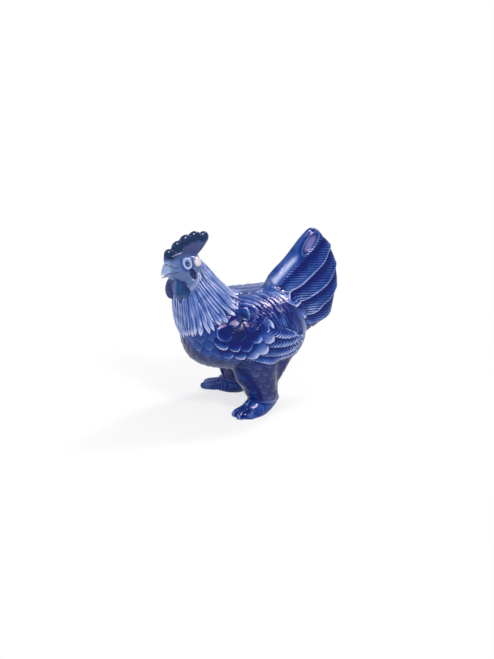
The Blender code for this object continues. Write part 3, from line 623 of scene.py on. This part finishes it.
for root, end, width, level, tone in coverts:
    middle = (0.5 * (root[0] + end[0]) - 0.4, 0.5 * (root[1] + end[1]) + 0.3)
    flat = level > 1.1  # the shoulder's scales are facets
    addFeather(wing, x, girth, [root, middle, end], width, point=0.55, tip=(2.2, 0.5), level=0.7 * level,
               lift=0.65, crown=-0.05 if flat else 0.4, barb=0.2 if flat else 0.4, slant=0.8,
               rim=0.8, tone=tone)

# The saddle: pointed feathers that sweep back from the cape and turn down over the wing and rump.
# Their paths are read between these, which run from the middle of the back outwards and backwards.
saddle = newPlume()
saddleFlow = [
    ((-12.5, 20.0), (-7.5, 21.0), (-4.8, 25.5), (-3.8, 31.0)),
    ((-10.5, 13.0), (-3.0, 18.5), (1.8, 27.5), (4.2, 37.0)),
    ((-8.0, 6.0), (-0.5, 13.0), (5.8, 25.5), (10.5, 41.0)),
    ((-3.5, 1.5), (6.0, 9.0), (12.0, 24.5), (17.0, 43.0)),
    ((5.0, 2.0), (12.5, 9.5), (17.5, 25.0), (22.5, 45.0)),
    ((12.5, 8.0), (17.5, 16.0), (22.5, 30.0), (27.5, 48.0)),
]
saddlePaths = curveThrough(np.reshape(saddleFlow, (6, 8)), 61)
for count, share, level, tone in ((11, 1.0, 0.15, 0.32), (10, 0.80, 0.32, 0.18), (9, 0.58, 0.42, 0.0)):
    for k in range(count):
        f = (k + 0.5 * (share < 1) + 0.15 * chance.uniform(-1, 1)) / (count - 1)
        f = np.clip(f, 0, 1)
        whole = curveThrough(saddlePaths[round(60 * f)].reshape(4, 2), 31)
        path = whole[:round(1 + 30 * share * (1 + 0.06 * chance.uniform(-1, 0)))]
        width = plumage["saddleWidth"] * (1 + 0.12 * chance.uniform(-1, 1)) * (0.8 + 0.35 * f)
        addFeather(saddle, x, girth, path, width, point=0.60, tip=(1.5, 0.8), level=level, lift=0.42,
                   crown=0.55, tone=tone, rim=0.6, barb=0.15, waist=0.2)
for root, middle, end, width in (((8, 4), (15, 10), (21, 24), 8.5), ((6, 0), (14, 3), (21, 9), 7.5)):
    addFeather(saddle, x, girth, [root, middle, end], width, point=0.5, tip=(2.0, 0.55), level=1.0,
               lift=0.5, crown=0.5, tone=-0.1, rim=1.1, barb=0.3)
print("wing and saddle laid")

# The tail: each feather's lower edge stands over the next, as a saw's tooth from one ridge line to the
# next. Along the tail's upper edge the feathers are smooth, and near its end they have a dimple.
ridges = [
    [(4, 16.6), (15, 16.3), (38, 15.3), (50, 15.7), (56, 16)],
    [(4, 11), (15.6, 9.1), (24, 5.9), (34, 4.7), (43, 4.4), (49, 6.4), (56, 9)],
    [(4, 9.5), (9.7, 6.6), (20, -2.1), (32, -6.5), (39, -7), (45, -5.1), (56, 0)],
    [(3, 4), (9.4, -2.9), (18.8, -13.1), (27, -14.7), (34.5, -15.7), (50, -12)],
]
lines = [np.full(len(points), 30.0)]
for ridge in ridges:
    line = curveThrough(ridge, 60)
    lines.append(np.interp(tailRun, line[:, 0], line[:, 1]))
lines.append(np.full(len(points), -34.0))
tail = newPlume()
tail["height"] -= 1
for k in range(len(lines) - 1):
    upper, lower = lines[k], np.minimum(lines[k + 1], lines[k] - 0.5)
    if k == 0:
        upper = lower + 9
    if k == len(lines) - 2:
        lower = upper - 12
    band = (tailRise <= upper + (20 if k == 0 else 0)) & (tailRise > lower)
    w = np.clip((upper - tailRise) / (upper - lower), 0, 1)
    fall = tailRise - lower
    lip = bell((fall - 1.0) / 0.70) * (k < len(lines) - 2) * (k > 0)
    level = 0.30 + 0.75 * w + 0.30 * lip
    if k == 0:
        level = 0.30 + 0.28 * step(fall / 2.2)
    elif k < len(lines) - 2:
        level *= step(fall / 0.6)
    tail["height"][band] = level[band]
    tail["rim"][band] = (lip * 0.26)[band]
    tail["root"][band] = 1.5 * (1 - step((w - 0.02) / 0.75))[band]
    tail["phase"][band] = (z + 0.10 * x)[band]
    tail["barb"][band] = 1.7 * ((0.35 + 0.65 * step((w - 0.05) / 0.3)) * (1 - 0.7 * lip))[band]
spoonU, spoonV = tailRun - 44.3, tailRise - 19.6
spoon = np.hypot((spoonU * 0.985 + spoonV * 0.17) / 7.4, (spoonV * 0.985 - spoonU * 0.17) / 3.0)
spoonDip = 1 - step((spoon - 0.55) / 0.45)
spoonRim = bell((spoon - 1.08) / 0.13)
tail["height"] += (-0.9 * spoonDip + 0.35 * spoonRim) * (tailRise > 12)
front = step((tailRise - 16.6) / 1.2)
tail["root"] *= 1 - front
tail["barb"] *= (1 - spoonDip) * (1 - front) * step((side - 0.6) / 1.2)
print("tail laid")

# Which plumage shows where.
onTail = step((tailRun - 10.0 - 0.12 * np.abs(tailRise)) / 1.5) * step((0.33 * form["bodyWidth"] - side) / 2)
onTail *= step((tailRise + 26) / 3)
nearNeck = (np.hypot(ahead, side) < 0.62 * form["capeWidth"] + 0.1 * np.maximum(down, 0)) & (tailRun < 5)
bare = 1 - step((down - faceEdge) / 1.2)
bare = np.where(nearNeck & (x < -18), bare, 0)
underCape = np.where(nearNeck, step((down - hem + 2.6) / 2.6), 1)
aboveFoot = step((z - 0.40 * form["legLength"]) / 2)
onLeg = step((1.10 * form["legLength"] - z) / 3) * aboveFoot
lowBody = step((girth - 52) / 5) * aboveFoot
laid = newPlume()
laid["height"] += 0.02
blendPlume(laid, thigh, np.clip(onLeg + lowBody, 0, 1))
blendPlume(laid, breast, breastFade * (1 - 0.6 * onLeg))
for layer, lowest in ((saddle, 26), (wing, 31.2)):
    stands = layer["height"] > np.maximum(laid["height"], 0.35)
    layPlume(laid, layer, stands & (z > lowest) & (onTail < 0.5))
laid["height"] *= underCape * (0.25 + 0.75 * step((girth - 5) / 9))
overTrunk = (hackles["height"] > laid["height"]) & nearNeck
layPlume(laid, hackles, overTrunk)
blendPlume(laid, tail, onTail)

# The bare parts: face, comb, wattles, legs and feet.
wattleSize = np.array([form["wattleWidth"], form["wattleThickness"], form["wattleLength"]]) / 2
nearWattle = np.minimum(*(np.linalg.norm((points - wattleCentre(s)) / wattleSize, axis=1) for s in (-1, 1)))
onWattle = 1 - step((nearWattle - 1.02) / 0.16)
roundWattle = 1 - step((nearWattle - 1.25) / 0.30)
combBase = np.interp(x, [-50, -44, -38, -30, -24], [90.2, 92.2, 93.4, 93.0, 91.5])
onComb = step((z - combBase) / 0.9) * (x < -15)
nearLobe = np.where((side > 3.0) & (x < -34), np.hypot((x + 41.4) / 2.9, (z - 76.2) / 4.6), 9)
onWattle = np.maximum(onWattle, 1 - step((nearLobe - 0.9) / 0.2))
onFoot = 1 - step((z - 0.30 * form["legLength"]) / 5)
plain = np.clip(bare + onWattle + roundWattle + onComb + onFoot, 0, 1)
for name in laid:
    laid[name] = laid[name] * (1 - plain)


def spot(x0, z0, wide, tall, tilt=0.0):
    # The distance from a place on the head, in half sizes of an ellipse.
    c, s = math.cos(tilt), math.sin(tilt)
    du, dv = x - x0, z - z0
    return np.hypot((du * c + dv * s) / wide, (dv * c - du * s) / tall)


def lineGap(places):
    # The distance, seen from the side, from a smooth line through the places.
    gap = np.full(len(points), 1e9)
    for a, b in curveThrough(places, 40):
        gap = np.minimum(gap, np.hypot(x - a, z - b))
    return gap


# On the face, a spot is its middle, half sizes and turn, and a line is the places it runs through.
faceMarks = dict(
    eye=(-38.9, 90.7, 2.4, 2.75), earlobe=(-33.0, 90.8, 2.1, 2.6, 0.15),
    slot=(-36.0, 85.2, 2.1, 3.8, 0.38), swelling=(-35.4, 94.4, 2.6, 1.8),
    cheekRim=[(-30.6, 88.6), (-31.6, 84.5), (-34.6, 80.2), (-38.0, 77.2), (-41.2, 76.6)],
    mouth=[(-50.9, 81.4), (-49.0, 83.6), (-46.8, 85.2), (-44.0, 86.2)],
    brow=[(-48.5, 89.5), (-46.0, 88.6), (-43.8, 88.9)],
    wattleSlit=[(-41.0, 80.2), (-40.0, 78.4), (-39.0, 76.4)],
)
thighLine = [(-14.5, 30.5), (-9.5, 24.0), (-5.1, 18.4), (-2.6, 11.5)]
onHead = (side > 2.0) & (down < 22) & (x < -25)
eye = np.where(onHead & (side > 5), spot(*faceMarks["eye"]), 9)
earlobe = np.where(onHead, spot(*faceMarks["earlobe"]), 9)
slot = np.where(onHead, spot(*faceMarks["slot"]), 9)
rimGap, mouthGap = lineGap(faceMarks["cheekRim"]), lineGap(faceMarks["mouth"])
browGap, slitGap = lineGap(faceMarks["brow"]), lineGap(faceMarks["wattleSlit"])
rimLine = bell(rimGap / 1.3) * onHead * (side > 6)
mouthLine = bell(mouthGap / 0.42) * (x < -43.5) * (onWattle < 0.5)
browLine = bell(browGap / 0.45) * (side > 1.2) * (x < -43)
faceHeight = 0.75 * bell((eye - 0.86) / 0.22) - 0.35 * (1 - step((eye - 0.10) / 0.42))
faceHeight += 1.5 * (1 - step((earlobe - 0.5) / 0.6)) - 1.5 * (1 - step((slot - 0.45) / 0.6))
faceHeight += 0.5 * (1 - step((spot(*faceMarks["swelling"]) - 0.1) / 0.9)) * onHead
faceHeight += 0.75 * rimLine - 0.45 * mouthLine - 0.35 * browLine
laid["height"] += faceHeight * (1 - onComb) * (1 - 0.9 * onWattle) + 0.6 * (1 - step((nearLobe - 0.75) / 0.3))

sunk = np.where(overTrunk, 0.80, np.where(laid["height"] > 0.35, 0.70, 0.25))
sunk = sunk * (1 - onTail) + 0.55 * onTail
sunk = spread(sunk * (1 - plain), 0.5)
thighGroove = bell(lineGap(thighLine) / 1.1) * step((side - 14) / 3) * (z < 31)
footSide = np.where(points[:, 1] < 0, -1, 1)
ankleX = anklePlace(1)[0]
reachOut = np.hypot(ankleX - x, side - form["stance"] / 2)  # from the ankle, level with the ground
toeTurns = np.degrees(np.arctan2(side - form["stance"] / 2, ankleX - x))
toeTurns = toeTurns - form["footSplay"] - footSide * form["footTwist"]
onToes = onFoot * step((reachOut - 4) / 4)
between = np.abs(np.abs(toeTurns) - form["toeSpread"] / 2)
toeGroove = onToes * bell(np.radians(between) * reachOut / 0.7) * (z > 1)
relief = laid["height"] - sunk - 0.45 * thighGroove - 0.40 * toeGroove
skin = points + normals * relief[:, None]
crease = bell((z - combBase - 0.6) / 1.8) * (x < -38) * (z > 88) * (1 - step((side - 6) / 2))
crease = crease[:, None]
skin = skin * (1 - crease) + spread(skin, 1.1) * crease
print("relief raised")

# How deep the glaze lies: it runs off what stands proud and pools in the hollows.
# Besides the glaze, this value carries painted light: a painted highlight on the tail's front band, painted
# shadow along the quills' upper edges and painted bounce light on the lower breast.
fineGap = ((spread(skin, 0.7) - skin) * normals).sum(1)
wideGap = ((spread(skin, 2.2) - skin) * normals).sum(1)
mottle = spread(chance.normal(size=len(points)), 2.5)
mottle /= mottle.std()

shoulder = 1 - step((np.hypot((x + 15.5) / 10.5, (girth - 36.5) / 12.5) - 0.75) / 0.45)
shoulder *= (1 - overTrunk) * (onTail < 0.5)
upperBack = (1 - step((girth - 13) / 9)) * step((x + 12) / 3) * (1 - onTail) * (z > 55)
capeShoulder = np.exp(-(((x + 8.5) / 4.5) ** 2 + ((girth - 22) / 6.5) ** 2)) * (1 - overTrunk)
isHackle = overTrunk & (plain < 0.5)
quillZone = (wing["height"] > 0.35) & (wing["barb"] > 1.2) & ~overTrunk & (onTail < 0.5)
lowZone = np.clip(lowBody + onLeg, 0, 1) * (wing["height"] < 0.35)

poolAndPaintedLight = np.full(len(points), 0.55)
poolAndPaintedLight += 0.40 * toeGroove - 0.10 * onToes
# Painted highlight: a pale streak where a lamp's reflection lies along the tail's front band, which is
# otherwise a little darker.
poolAndPaintedLight -= (0.62 * bell((tailRise - 20.0) / 1.9) * step((38 - tailRun) / 8) - 0.14) * onTail * front
poolAndPaintedLight += 0.20 * onTail * (1 - front) * (step((tailRun - 14) / 30) - 0.5)
poolAndPaintedLight += 0.12 * onTail * bell((spoon - 1.35) / 0.22)
overWing = (wing["height"] > 0.35) & (laid["height"] == wing["height"]) & (onTail < 0.5)
overSaddle = (saddle["height"] > 0.35) & (laid["height"] == saddle["height"]) & (onTail < 0.5)
poolAndPaintedLight += np.where(overWing, 0.16 * laid["root"] ** 1.5 - 0.12 * laid["rim"], 0)
onQuill = overWing & quillZone
# Painted shadow: each quill is darker along its upper edge, under the quill above, and paler towards its
# lower edge.
poolAndPaintedLight += np.where(onQuill, 0.18 - 0.34 * step((laid["across"] + 0.20) / 0.75), 0)
isCovert = overWing & ~quillZone & (wing["tone"] < 0.12)
poolAndPaintedLight += np.where(isCovert, 0.28 * laid["root"] - 0.36 * (1 - laid["root"]) ** 2 - 0.16 * laid["rim"], 0)
poolAndPaintedLight += np.where(overSaddle, 0.07 + (0.16 - 0.26 * laid["rim"]) * step((girth - 14) / 10), 0)
poolAndPaintedLight += np.where(isHackle, -0.27 + 0.12 * step((down - 12) / 10) - 0.14 * step((down - hem + 6) / 5), 0)
poolAndPaintedLight += 0.36 * shoulder + 0.05 * onTail
poolAndPaintedLight -= 0.11 * upperBack + 0.25 * capeShoulder
poolAndPaintedLight -= 0.10 * quillZone
poolAndPaintedLight += 0.12 * lowZone
poolAndPaintedLight += laid["tone"] * 0.55
poolAndPaintedLight += 0.26 * laid["root"] ** 1.5 * (1 - plain) - 0.24 * laid["rim"] * (1 - plain)
poolAndPaintedLight += np.clip(1.6 * fineGap, -0.32 + 0.14 * onTail, 0.60) + np.clip(0.22 * wideGap, -0.18, 0.20)
poolAndPaintedLight += 0.045 * mottle
onShin = lowZone * (1 - onFoot) * step((-6 - x + 0.5 * (24 - z)) / 4) * (z < 32)
poolAndPaintedLight += 0.30 * thighGroove + 0.20 * onShin + 0.07 * onFoot
onBreast = breastFade * step((-10 - x) / 10) * (1 - overTrunk) * (1 - overWing) * (1 - plain)
# On the breast the contrast is lowered, and painted bounce light makes it paler towards the bottom, which
# lies in shade.
poolAndPaintedLight = 0.55 + (1.18 - 0.45 * onBreast) * (poolAndPaintedLight - 0.55) + (0.06 - 0.20 * step((46 - z) / 16)) * onBreast
poolAndPaintedLight = np.where(onQuill, np.maximum(poolAndPaintedLight, 0.30 - 0.18 * laid["rim"]), poolAndPaintedLight)
poolAndPaintedLight += 0.24 * onFoot * (1 - step((1.0 - z) / 0.8)) - 0.25 * step((0.9 - z) / 0.8)

violet = np.clip(0.30 * breastFade * (1 - overTrunk) * (1 - shoulder) + 0.75 * lowZone, 0, 1)
teal = np.clip(0.75 * shoulder * (wing["tone"] > 0.2), 0, 1)


tints = dict(
    # Of these, the head top's colour is a painted sheen, lighter than the face.
    face=(0.092, 0.155, 0.315), headTopSheen=(0.16, 0.20, 0.42), cheekRim=(0.19, 0.25, 0.44),
    # The spoon's lilac here is a painted reflection of a lamp.
    spoon=(0.19, 0.19, 0.47), thigh=(0.052, 0.056, 0.145), crease=(0.05, 0.07, 0.22),
    comb=(0.055, 0.080, 0.20), lobes=(0.001, 0.020, 0.065),
    wattle=(0.045, 0.065, 0.20), nearWattle=(0.003, 0.045, 0.14), slit=(0.004, 0.008, 0.07),
    wattleFront=(0.085, 0.115, 0.26), wattleFoot=(0.075, 0.12, 0.25),
    beak=(0.27, 0.37, 0.57), beakTip=(0.80, 0.72, 0.66),
    eyeEdge=(0.018, 0.042, 0.22), eyeRing=(0.29, 0.37, 0.54), pupil=(0.006, 0.022, 0.10),
    earlobe=(0.52, 0.47, 0.50), slot=(0.030, 0.028, 0.13),
)
tint, cover = np.zeros((len(points), 3)), np.zeros(len(points))


def paint(name, amount):
    # Where amount is up, the tint turns to the named one.
    share = np.clip(amount, 0, 1)
    tint[:] = tint * (1 - share[:, None]) + np.array(tints[name]) * share[:, None]
    cover[:] = np.maximum(cover, share)


shadeFace = np.clip(1.0 - 1.1 * np.clip(fineGap, -0.3, 0.5) - 0.10 * np.clip(wideGap, -1, 1), 0.35, 1.5)
lobes = np.full(len(points), 9.0)
for lobeX, lobeZ, wide, _ in lobePlaces():
    lobes = np.minimum(lobes, np.hypot(x - lobeX + 0.12 * wide, z - lobeZ - 0.22 * wide) / (wide / 2))
faceOnly = bare * (1 - onComb) * (1 - onWattle)
nearSide = onWattle * (points[:, 1] < 0)
paint("face", 0.92 * faceOnly)
# Painted reflection: the lilac of a lamp's reflection, painted into the spoon-shaped dimple near the tail's
# end.
paint("spoon", 0.9 * spoonDip * (tailRise > 12) * onTail)
paint("thigh", 0.55 * lowZone * (1 - onFoot) * (1 - thighGroove) * (1 - onShin))
paint("eyeEdge", 0.95 * faceOnly * bell((eye - 1.30) / (0.20 + 0.10 * (x < -40))))
# Painted sheen: the face grows lighter towards the top of the head.
paint("headTopSheen", 0.55 * faceOnly * step((z - 92.5) / 4))
paint("comb", 0.95 * onComb)
paint("lobes", 0.97 * onComb * (1 - step((lobes - 0.80) / 0.32)))
paint("wattle", 0.95 * onWattle)
paint("nearWattle", 0.9 * nearSide * step((z - 71.5) / 3))
paint("slit", 0.9 * nearSide * bell(slitGap / 1.3))
paint("wattleFront", 0.8 * nearSide * step((-44.4 - x) / 1.2))
paint("wattleFoot", 0.7 * nearSide * step((74.0 - z) / 2.5))
beak = step((-46.0 - x) / 2.0) * (1 - onComb) * (1 - onWattle)
paint("beak", 0.85 * beak)
paint("beakTip", 0.95 * step((-49.2 - x) / 1.0) * step((84.8 - z) / 1.4) * (1 - onWattle))
paint("crease", 0.75 * mouthLine + 0.55 * browLine)
paint("cheekRim", 0.75 * rimLine * (1 - onWattle) * (1 - step((down - faceEdge - 2.5) / 1)))
paint("eyeRing", 0.95 * faceOnly * bell((eye - 0.76) / 0.20))
paint("pupil", 0.97 * (1 - step((eye - 0.34) / 0.18)))
paint("earlobe", 0.97 * (1 - step((earlobe - 0.80) / 0.28)))
paint("slot", 0.96 * (1 - step((slot - 0.62) / 0.40)))
tint *= shadeFace[:, None]

# The finished mesh, thinned where it is smooth, with what the glaze needs kept on its points.
piece = meshObject("hen_glazed", skin, quads)
fields = dict(poolAndPaintedLight=poolAndPaintedLight, violet=violet, teal=teal, cover=cover)
fields["phase"] = np.where(onFoot > 0.5, reachOut, laid["phase"] * np.where(quillZone, 0.66, 1.0))
fields["barb"] = laid["barb"] * (1 - plain) + 0.8 * onToes * (1 - toeGroove)
for name, values in fields.items():
    attribute = piece.data.attributes.new(name, "FLOAT", "POINT")
    attribute.data.foreach_set("value", values.astype(np.float32))
attribute = piece.data.attributes.new("tint", "FLOAT_COLOR", "POINT")
attribute.data.foreach_set("color", np.hstack([tint, np.ones((len(points), 1))]).astype(np.float32).ravel())
thin = piece.modifiers.new("thin", "DECIMATE")
thin.ratio = min(1.0, mould["mostTriangles"] / (2 * len(quads)))
finished = evaluated(piece)
spots = meshPoints(finished)
spots[:, 2] = np.maximum(spots[:, 2], 0.0)
spots[:, :2] -= boxMiddle
finished.vertices.foreach_set("co", (spots * millimetre).astype(np.float32).ravel())
finished.shade_smooth()
finished.update()
hen = bpy.data.objects.new("hen_glazed", finished)
bpy.context.scene.collection.objects.link(hen)
print("hen of", len(spots), "points and", len(finished.polygons), "faces")


def setInputs(node, values):
    for name, value in values.items():
        node.inputs[name].default_value = value


glaze = dict(
    stops=(  # from nearly bare to where the glaze lies deepest
        (0.06, (0.42, 0.47, 0.68)), (0.27, (0.17, 0.235, 0.50)), (0.50, (0.034, 0.088, 0.30)),
        (0.74, (0.002, 0.032, 0.20)), (1.0, (0.0005, 0.009, 0.11)),
    ),
    bellyTint=(1.35, 0.92, 0.80, 1), shoulderTint=(0.60, 1.35, 0.62, 1),
    barbPitch=1.4, barbDepth=0.14, cloudDepth=0.20,
    surface={"Roughness": 0.09, "IOR": 1.5, "Specular IOR Level": 0.16, "Metallic": 0.0,
             "Specular Tint": (1.0, 0.80, 0.98, 1)},
)


def glazeMaterial():
    material = bpy.data.materials.new("cobalt_glaze")
    material.use_nodes = True
    nodes, links = material.node_tree.nodes, material.node_tree.links
    shader = nodes["Principled BSDF"]

    def node(kind, **settings):
        made = nodes.new(kind)
        for name, value in settings.items():
            setattr(made, name, value)
        return made

    def read(name, output="Fac"):
        return node("ShaderNodeAttribute", attribute_name=name).outputs[output]

    def fill(sockets, values):
        for socket, value in zip(sockets, values):
            if isinstance(value, (int, float, tuple)):
                socket.default_value = value
            else:
                links.new(value, socket)

    def maths(operation, first, second=0.0):
        made = node("ShaderNodeMath", operation=operation)
        fill(made.inputs, (first, second))
        return made.outputs[0]

    def mixed(kind, share, first, second):
        made = node("ShaderNodeMix", data_type="RGBA", blend_type=kind)
        fill((made.inputs[0], made.inputs[6], made.inputs[7]), (share, first, second))
        return made.outputs[2]

    place = node("ShaderNodeTexCoord").outputs["Object"]

    def noise(scale, detail):
        made = node("ShaderNodeTexNoise")
        setInputs(made, {"Scale": scale, "Detail": detail})
        links.new(place, made.inputs["Vector"])
        return made.outputs["Fac"]

    wander, cloud, patchy = noise(900, 3), noise(150, 4), noise(70, 2)

    # Barbs: waves along each feather's own length, bent a little by the noise.
    bend = maths("MULTIPLY", maths("SUBTRACT", wander, 0.5), 1.3)
    phase = maths("ADD", maths("MULTIPLY", read("phase"), 2 * math.pi / glaze["barbPitch"]), bend)
    strength = maths("MAXIMUM", maths("MULTIPLY", maths("SUBTRACT", patchy, 0.27), 4.5), 0.3)
    wave = maths("MULTIPLY", maths("MULTIPLY", maths("SINE", phase), read("barb")), strength)
    # The glaze depth with its painted light, rippled by the barbs and by clouds.
    pooledAndPaintedLight = maths("ADD", read("poolAndPaintedLight"), maths("MULTIPLY", wave, glaze["barbDepth"]))
    pooledAndPaintedLight = maths("ADD", pooledAndPaintedLight, maths("MULTIPLY", maths("SUBTRACT", cloud, 0.5), glaze["cloudDepth"]))

    ramp = node("ShaderNodeValToRGB")
    while len(ramp.color_ramp.elements) < len(glaze["stops"]):
        ramp.color_ramp.elements.new(0.5)
    for element, (position, colour) in zip(ramp.color_ramp.elements, glaze["stops"]):
        element.position = position
        element.color = (*colour, 1)
    links.new(pooledAndPaintedLight, ramp.inputs["Fac"])
    colour = mixed("MULTIPLY", read("violet"), ramp.outputs["Color"], glaze["bellyTint"])
    colour = mixed("MULTIPLY", read("teal"), colour, glaze["shoulderTint"])
    colour = mixed("MIX", read("cover"), colour, read("tint", "Color"))
    links.new(colour, shader.inputs["Base Color"])

    bump = node("ShaderNodeBump")
    setInputs(bump, {"Strength": 0.6, "Distance": 0.00022})
    ripple = maths("ADD", maths("MULTIPLY", wave, 0.3), maths("MULTIPLY", cloud, 0.30))
    links.new(ripple, bump.inputs["Height"])
    links.new(bump.outputs["Normal"], shader.inputs["Normal"])
    setInputs(shader, glaze["surface"])
    return material


finished.materials.clear()
finished.materials.append(glazeMaterial())
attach(hen, "root")
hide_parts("hen")
print("glaze made")


def seenDirectly(nodes, links):
    # 1 for what the camera sees, also by way of a reflection or through glass, and 0 for the light itself.
    path = nodes.new("ShaderNodeLightPath")
    seen = path.outputs["Is Camera Ray"]
    for name in ("Is Glossy Ray", "Is Transmission Ray"):
        either = nodes.new("ShaderNodeMath")
        either.operation = "MAXIMUM"
        links.new(seen, either.inputs[0])
        links.new(path.outputs[name], either.inputs[1])
        seen = either.outputs[0]
    return seen


studio = dict(
    floorReach=3.0, floorColour=(0.86, 0.86, 0.87, 1),
    shadowFrom=0.06, shadowTo=0.22, shadowShade=0.70,  # it fades out between these distances
    worldColour=(0.93, 0.95, 1.0, 1), worldStrength=0.42,
    aim=(0, 0, 0.05),
    lamps=(  # name, place, size, power and colour; only the gloss shows the last two
        ("key", (0.02, -0.66, 0.72), (0.20, 0.20), 4.6, (1.0, 0.98, 0.99)),
        ("back", (0.50, 0.16, 0.80), (0.18, 0.24), 4.4, (1.0, 0.98, 1.0)),
        ("side", (-0.80, -0.15, 0.50), (0.20, 0.36), 2.4, (0.98, 0.98, 1.0)),
        ("front window", (0.00, -0.67, 0.72), (0.34, 0.44), 12.0, (1.0, 0.98, 0.99)),
        ("back window", (0.52, 0.17, 0.82), (0.34, 0.44), 12.0, (1.0, 0.98, 1.0)),
    ),
)


def placed(name, data, spotAt, look):
    # An object of the data at the spot, facing along look.
    holder = bpy.data.objects.new(name, data)
    holder.location = spotAt
    holder.rotation_mode = "QUATERNION"
    holder.rotation_quaternion = look.to_track_quat("-Z", "Y")
    bpy.context.scene.collection.objects.link(holder)
    return holder


def shaderMix(nodes, links, share, first, second, output):
    mix = nodes.new("ShaderNodeMixShader")
    for socket, source in zip(mix.inputs, (share, first.outputs[0], second.outputs[0])):
        links.new(source, socket)
    links.new(mix.outputs[0], output.inputs["Surface"])


def floorAndLight():
    # A pale floor that keeps the shadow, a white world for the camera, and large soft lamps.
    mesh = bpy.data.meshes.new("floor")
    wide = studio["floorReach"]
    corners = [(-wide, -wide, 0), (wide, -wide, 0), (wide, wide, 0), (-wide, wide, 0)]
    mesh.from_pydata(corners, [], [(0, 1, 2, 3)])
    floor = bpy.data.objects.new("floor", mesh)
    bpy.context.scene.collection.objects.link(floor)
    material = bpy.data.materials.new("floor")
    material.use_nodes = True
    nodes, links = material.node_tree.nodes, material.node_tree.links
    diffuse = nodes["Principled BSDF"]
    setInputs(diffuse, {"Base Color": studio["floorColour"], "Roughness": 0.9})
    glow = nodes.new("ShaderNodeEmission")
    setInputs(glow, {"Color": (1, 1, 1, 1), "Strength": 1.0})
    place = nodes.new("ShaderNodeTexCoord")
    far = nodes.new("ShaderNodeVectorMath")
    far.operation = "LENGTH"
    links.new(place.outputs["Object"], far.inputs[0])
    fade = nodes.new("ShaderNodeMapRange")
    setInputs(fade, {"From Min": studio["shadowFrom"], "From Max": studio["shadowTo"]})
    setInputs(fade, {"To Min": studio["shadowShade"], "To Max": 1.0})
    links.new(far.outputs["Value"], fade.inputs["Value"])
    seen = nodes.new("ShaderNodeMath")
    seen.operation = "MULTIPLY"
    links.new(seenDirectly(nodes, links), seen.inputs[0])
    links.new(fade.outputs["Result"], seen.inputs[1])
    shaderMix(nodes, links, seen.outputs[0], diffuse, glow, nodes["Material Output"])
    mesh.materials.append(material)

    world = bpy.data.worlds.new("studio")
    bpy.context.scene.world = world
    world.use_nodes = True
    nodes, links = world.node_tree.nodes, world.node_tree.links
    light = nodes["Background"]
    setInputs(light, {"Color": studio["worldColour"], "Strength": studio["worldStrength"]})
    white = nodes.new("ShaderNodeBackground")
    setInputs(white, {"Color": (1, 1, 1, 1), "Strength": 1.0})
    shaderMix(nodes, links, seenDirectly(nodes, links), light, white, nodes["World Output"])

    for name, spotAt, size, power, colour in studio["lamps"]:
        lamp = bpy.data.lights.new(name, "AREA")
        lamp.shape = "RECTANGLE"
        lamp.size, lamp.size_y = size
        lamp.energy = power
        lamp.color = colour
        stand = placed(name, lamp, spotAt, Vector(studio["aim"]) - Vector(spotAt))
        stand.visible_diffuse = not name.endswith("window")


viewpoint = dict(
    azimuth=-25, elevation=20, distance=0.650, target=(-0.0025, -0.0016, 0.044), lens=41.43,
)


def addCamera():
    azimuth, elevation = math.radians(viewpoint["azimuth"]), math.radians(viewpoint["elevation"])
    level = math.cos(elevation)
    back = Vector((math.sin(azimuth) * level, -math.cos(azimuth) * level, math.sin(elevation)))
    camera = bpy.data.cameras.new("camera")
    camera.sensor_fit = "VERTICAL"
    camera.sensor_height = 24
    camera.lens = viewpoint["lens"]
    camera.clip_start = 0.01
    spotAt = Vector(viewpoint["target"]) + back * viewpoint["distance"]
    bpy.context.scene.camera = placed("camera", camera, spotAt, -back)


floorAndLight()
addCamera()
bpy.context.scene.view_settings.view_transform = "Standard"
print("floor, lamps and camera placed")
